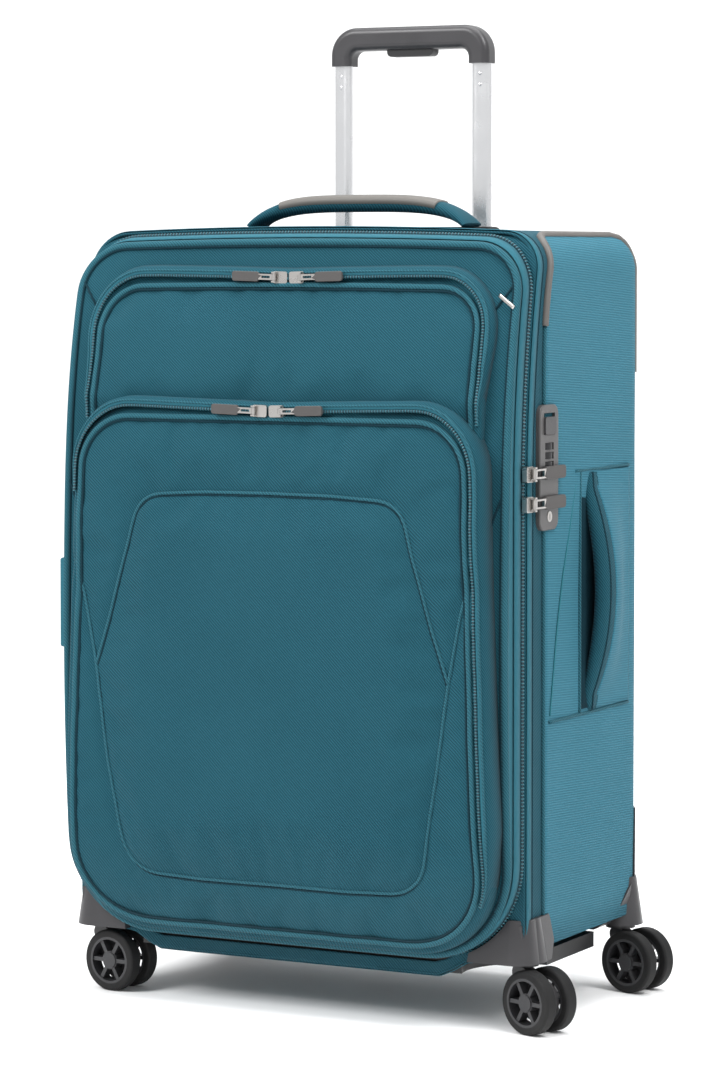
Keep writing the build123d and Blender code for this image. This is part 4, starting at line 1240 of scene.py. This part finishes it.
# %% side handle
grab_low, grab_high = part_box("side_handle")
GRAB_Z = (grab_low.z + grab_high.z) / 2
GRAB_HALF = (grab_high.z - grab_low.z) / 2
GRAB_BOW = grab_high.x - SIDE_X
ROLL_Y = 30 * MM
reach = grab_high.y - 2 * MM


def grab_lift(z):
    """How far the side handle bows out at a height."""
    return bow(GRAB_HALF, GRAB_BOW, z - GRAB_Z)


rows, columns = 44, 22
points = []
for i in range(rows):
    z = GRAB_Z + (GRAB_HALF - 1 * MM) * (-1 + 2 * i / (rows - 1))
    for j in range(columns):
        s = j / (columns - 1)
        y = reach + (ROLL_Y - reach) * s
        ease = s * s * (3 - 2 * s)
        sag = 1.2 * MM * ripple((0, y, z), 0.045, 51) * math.sin(math.pi * s) * min(1, grab_lift(z) / 0.01)
        points.append((SIDE_X + 1.5 * MM + max(0.0, grab_lift(z) - 3 * MM) * ease + sag, y, z))
side_grab = mesh_object("side_handle_panel", points, grid_faces(rows, columns), SIDE_WEAVE, 1.6 * MM)

roll_rows = []
for t in np.linspace(-0.985, 0.985, 52):
    z = GRAB_Z + t * GRAB_HALF
    full = (1 - abs(t) ** 3) ** 0.5
    half_h = (1.6 + 6.4 * full) * MM
    roll_x = SIDE_X + 1.5 * MM + max(0.0, grab_lift(z) - half_h - 1.5 * MM)
    roll_rows.append((Vector((roll_x, ROLL_Y - 4 * MM * full, z)), (5 + 8.5 * full) * MM, half_h,
                      Vector((1, 0, 0))))
side_roll = swept_section("side_handle_roll", [r[0] for r in roll_rows], [r[1] for r in roll_rows],
                          [r[2] for r in roll_rows], [r[3] for r in roll_rows], (0, 1, 0), FRONT_TWILL, 2.2)
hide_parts("side_handle")
# The seam along the roll is a near-black cord, painted shade in its crease; the join behind it is teal
# piping.
seam = tube("side_handle_seam", [r[0] + Vector((r[2] * 0.86, -r[1] * 0.42, 0)) for r in roll_rows], 1.1 * MM,
            SEAM_SHADE, sides=6)
join = tube("side_handle_join", [r[0] + Vector((r[2] * 0.80, r[1] * 0.62, 0)) for r in roll_rows], 1.0 * MM,
            PIPING_TEAL, sides=6)
# A flat near-black sheet just off the side wall under the lifted panel: painted shadow inside the handle's
# recess.
dark = []
for z in np.linspace(GRAB_Z - GRAB_HALF + 3 * MM, GRAB_Z + GRAB_HALF - 3 * MM, 16):
    for y in (6, 30, 60):
        dark.append((SIDE_X + 1.9 * MM, y * MM, z))
recess_shadow_sheet = mesh_object("side_handle_lining", dark, grid_faces(16, 3), SEAM_SHADE, -0.5 * MM)
for piece in (side_grab, side_roll, seam, join, recess_shadow_sheet):
    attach(piece, "case")


def side_stitch(name, path, radius=0.7 * MM, material=THREAD, side=1):
    """A sewn line on the side panel, by its depth and height."""
    flat = smooth_path(resample(path, 6 * MM), 2)
    line = tube(name, [(side * (SIDE_X + 2.0 * MM), y, z) for y, z in flat], radius, material, sides=6)
    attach(line, "case")


grab_top, grab_foot = GRAB_Z + GRAB_HALF, GRAB_Z - GRAB_HALF
front_curve = [(-4 * MM, grab_top - 10 * MM), (-18 * MM, GRAB_Z + 50 * MM), (-30 * MM, GRAB_Z + 16 * MM),
               (-42 * MM, GRAB_Z - 30 * MM), (-55 * MM, grab_foot + 4 * MM)]
top_seam = [(-6 * MM, grab_top + 1 * MM), (reach, grab_top + 1 * MM)]
low_seam = [(-57 * MM, grab_foot - 1 * MM), (reach, grab_foot - 1 * MM)]
side_stitch("side_handle_front_stitch", front_curve)
side_stitch("side_handle_top_seam", top_seam, 1.3 * MM, PIPING_TEAL)
side_stitch("side_handle_hem", [(5 * MM, grab_top), (5 * MM, grab_foot)], 1.5 * MM, PIPING_TEAL)
side_stitch("side_handle_low_seam", low_seam, 1.3 * MM, PIPING_TEAL)
print("handles made")

# %% [markdown]
# ## Small trim
# A flat patch of fabric covers the fabric hinge on the left side. A metal bar tag is sewn near the lid's
# upper right corner, and two rivets hold each inner tube to the grip.

# %% patch, tag, rivets
def soft_box(name, low, high, material, body, bevel=0.8 * MM):
    """A small rounded block between two corners."""
    work = bmesh.new()
    bmesh.ops.create_cube(work, size=1)
    size = Vector(high) - Vector(low)
    for v in work.verts:
        v.co = Vector(low) + Vector([(v.co[k] + 0.5) * size[k] for k in range(3)])
    mesh = bpy.data.meshes.new(name)
    work.to_mesh(mesh)
    work.free()
    piece = bpy.data.objects.new(name, mesh)
    bpy.context.collection.objects.link(piece)
    mesh.materials.append(material)
    rounding = piece.modifiers.new("rounding", "BEVEL")
    rounding.width = bevel
    rounding.segments = 3
    for polygon in mesh.polygons:
        polygon.use_smooth = True
    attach(piece, body)
    return piece


patch_x = -SIDE_X - 5.5 * MM
soft_box("hinge_patch_case", (patch_x, SEAM_Y + 2 * MM, 0.305), (-SIDE_X + 1 * MM, SEAM_Y + 29 * MM, 0.383),
         TAPE_TEAL, "case", 2 * MM)
soft_box("hinge_patch_lid", (patch_x, SEAM_Y - 27 * MM, 0.305), (lid_low.x + 1 * MM, SEAM_Y - 2 * MM, 0.383),
         TAPE_TEAL, "lid", 2 * MM)

tag_ends = [Vector((197 * MM, 0, 615.5 * MM)), Vector((209 * MM, 0, 607 * MM))]
tag_depth = front_depth("lid_panel", -0.1)
for end in tag_ends:
    end.y = tag_depth(end.x, end.z) - 2.6 * MM
across_tag = (tag_ends[1] - tag_ends[0]).cross(Vector((0, 1, 0))).normalized()
tag = swept_section("lid_bar_tag", [tag_ends[0].lerp(tag_ends[1], t) for t in np.linspace(-0.1, 1.1, 12)],
                    [1.7 * MM] * 12, [0.8 * MM] * 12, [Vector((0, -1, 0))] * 12, across_tag, SILVER, 4)
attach(tag, "lid")

inner_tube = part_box("trolley_inner_tubes")
grip_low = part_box("trolley_grip")[0]
for side in (1, -1):
    for drop in (9, 19):
        centre = Vector((side * 69.5 * MM, inner_tube[0].y + 1.3 * MM, grip_low.z - drop * MM))
        work = bmesh.new()
        bmesh.ops.create_uvsphere(work, u_segments=20, v_segments=10, radius=1.9 * MM)
        for v in work.verts:
            v.co = centre + Vector((v.co.x, v.co.y * 0.5, v.co.z))
        mesh = bpy.data.meshes.new("rivet")
        work.to_mesh(mesh)
        work.free()
        rivet = bpy.data.objects.new(f"trolley_rivet_{'right' if side > 0 else 'left'}_{drop}", mesh)
        bpy.context.collection.objects.link(rivet)
        mesh.materials.append(STEEL)
        mesh.polygons.foreach_set("use_smooth", [True] * len(mesh.polygons))
        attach(rivet, "trolley_inner")

# %% [markdown]
# ## Inside
# With the lid open the lining shows: dark cloth on the walls, the board over the trolley, a quilted lid
# and two packing straps with a buckle.

# %% lining
LINING_INSET = -5 * MM
board_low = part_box("back_board")[0]
lining_rings = []
for k in range(14):
    t = k / 13
    flat = outline(SIDE_X, BASE_Z, TOP_Z, BODY_RADII, LINING_INSET)
    front = seam_y(flat[:, 1]) + 5 * MM
    lining_rings.append(np.column_stack([flat[:, 0], front + (board_low.y - 2 * MM - front) * t, flat[:, 1]]))
case_lining = mesh_object("case_lining", np.concatenate(lining_rings),
                          grid_faces(14, len(lining_rings[0]), True), LINING, -0.8 * MM)
board_lining = loop_panel("board_lining", lining_rings[-1], LINING, 1.0 * MM, 0)
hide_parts("back_board")
for piece in (case_lining, board_lining):
    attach(piece, "case")


def lid_lining():
    """Quilted cloth inside the lid, with its side walls."""
    step = 6 * MM
    x, z = rounded_grid(lid_high.x - step, lid_low.z + step, lid_high.z - step, (74 * MM, 30 * MM), 44, 60)
    depth = front_depth("lid_panel", lid_low.y)
    points = []
    for px, pz in zip(x.ravel(), z.ravel()):
        quilt = 1.2 * MM * abs(math.sin((px + pz) * 45) * math.sin((px - pz) * 45)) ** 0.5
        points.append((px, min(depth(px, pz) + 6 * MM + quilt, float(seam_y(pz)) - 2 * MM), pz))
    loop = border_loop(60, 44)
    faces = grid_faces(60, 44)
    start = len(points)
    for index in loop:
        px, _, pz = points[index]
        points.append((px * 1.01, float(seam_y(pz)) - 1.5 * MM, pz))
    count = len(loop)
    for k in range(count):
        n = (k + 1) % count
        faces.append((loop[k], loop[n], start + n, start + k))
    return mesh_object("lid_lining", points, faces, LINING, 0.7 * MM)


inside_lid = lid_lining()
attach(inside_lid, "lid")


def strap(name, start, end, sag, width, material=WEBBING):
    """A flat strap of webbing with a slack bow towards the lid."""
    start, end = Vector(start), Vector(end)
    centres = [start.lerp(end, t) + Vector((0, -sag * math.sin(math.pi * t), 0))
               for t in np.linspace(0, 1, 24)]
    piece = swept_section(name, centres, [width / 2] * 24, [0.7 * MM] * 24, [Vector((0, 1, 0))] * 24,
                          (0, 0, 1), material, 6, 12)
    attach(piece, "case")


for label, z in (("upper", 0.47), ("lower", 0.25)):
    left, right = (-SIDE_X + 7 * MM, 40 * MM, z), (SIDE_X - 7 * MM, 40 * MM, z)
    strap(f"packing_strap_{label}", left, right, 24 * MM, 25 * MM)
    soft_box(f"packing_buckle_{label}", (-24 * MM, 10 * MM, z - 15 * MM), (24 * MM, 19 * MM, z + 15 * MM),
             BLACK_PLASTIC, "case", 3 * MM)
print("lining made")

# %% [markdown]
# ## Settling the fabric
# The top of a softside case is crowned, and its base fabric hangs a little between the wheels. Moving the
# finished soft pieces together, by one rule for each effect, keeps seams and tapes lying on their fabric.

# %% settle the fabric
SOFT = [piece for piece in bpy.data.objects if piece.type == "MESH" and piece.name not in nodes]
for piece in SOFT:
    if not piece.name.startswith("trolley"):
        settle(piece)
for name in ("body_fabric", "rim_fabric", "main_tape_body", "zip_hem_case", "zip_groove_case"):
    sag_between_wheels(bpy.data.objects[name])
print("settled", len(SOFT))

# %% [markdown]
# ## Studio
# A pale floor that curves up into a backdrop, one large soft light from the front left, a weaker one on
# the right, a broad one overhead and a pale world. The camera stands in front and to the right, a little
# above the case's middle, with a long lens, and its frame is shifted down so that uprights stay almost
# upright.

# %% floor, lights, camera
def studio_material():
    """Pale matte paper with the faintest unevenness."""
    material, tree, shader = start_material("studio_paper", 0.9)
    tint = mixed(tree, noise_value(tree, 3.0, 2.0), (0.90, 0.90, 0.90), (0.93, 0.93, 0.93))
    tree.links.new(tint, shader.inputs["Base Color"])
    return material


sweep = []
profile = [(-6, 0), (-3, 0), (0, 0), (2.0, 0)]
profile += [(2.0 + 1.5 * math.sin(a), 1.5 - 1.5 * math.cos(a)) for a in np.linspace(0.15, math.pi / 2, 10)]
profile += [(3.5, 5)]
for y, z in profile:
    sweep += [(-7, y, z), (7, y, z)]
floor = mesh_object("studio_floor", sweep, grid_faces(len(profile), 2), studio_material())

world = bpy.data.worlds.new("studio_world")
bpy.context.scene.world = world
world.use_nodes = True
world.node_tree.nodes["Background"].inputs[0].default_value = (0.98, 0.99, 1.0, 1)
world.node_tree.nodes["Background"].inputs[1].default_value = 0.78


def soft_light(name, place_at, aim, size, power):
    """A large square area light."""
    data = bpy.data.lights.new(name, "AREA")
    data.energy = power
    data.size = size
    lamp = bpy.data.objects.new(name, data)
    bpy.context.collection.objects.link(lamp)
    lamp.location = place_at
    lamp.rotation_euler = (Vector(aim) - Vector(place_at)).to_track_quat("-Z", "Y").to_euler()


soft_light("key_light", (-1.3, -2.2, 2.4), (0, 0, 0.5), 1.3, 98)
soft_light("fill_light", (1.7, -0.6, 2.3), (0, 0, 0.75), 0.9, 46)
soft_light("top_light", (0.1, 0.1, 2.8), (0, 0, 0.3), 2.2, 75)

AZIMUTH = math.radians(27.6)
PITCH = math.radians(2.5)
camera_data = bpy.data.cameras.new("front_right_camera")
camera_data.lens = 124.5
camera_data.sensor_width = 36
camera_data.shift_y = -0.113
camera_data.clip_start = 0.05
camera = bpy.data.objects.new("front_right_camera", camera_data)
bpy.context.collection.objects.link(camera)
camera.location = (1.519, -2.889, 0.647)
camera.rotation_euler = (math.pi / 2 - PITCH, 0, AZIMUTH)
bpy.context.scene.camera = camera
bpy.context.scene.view_settings.view_transform = "Standard"
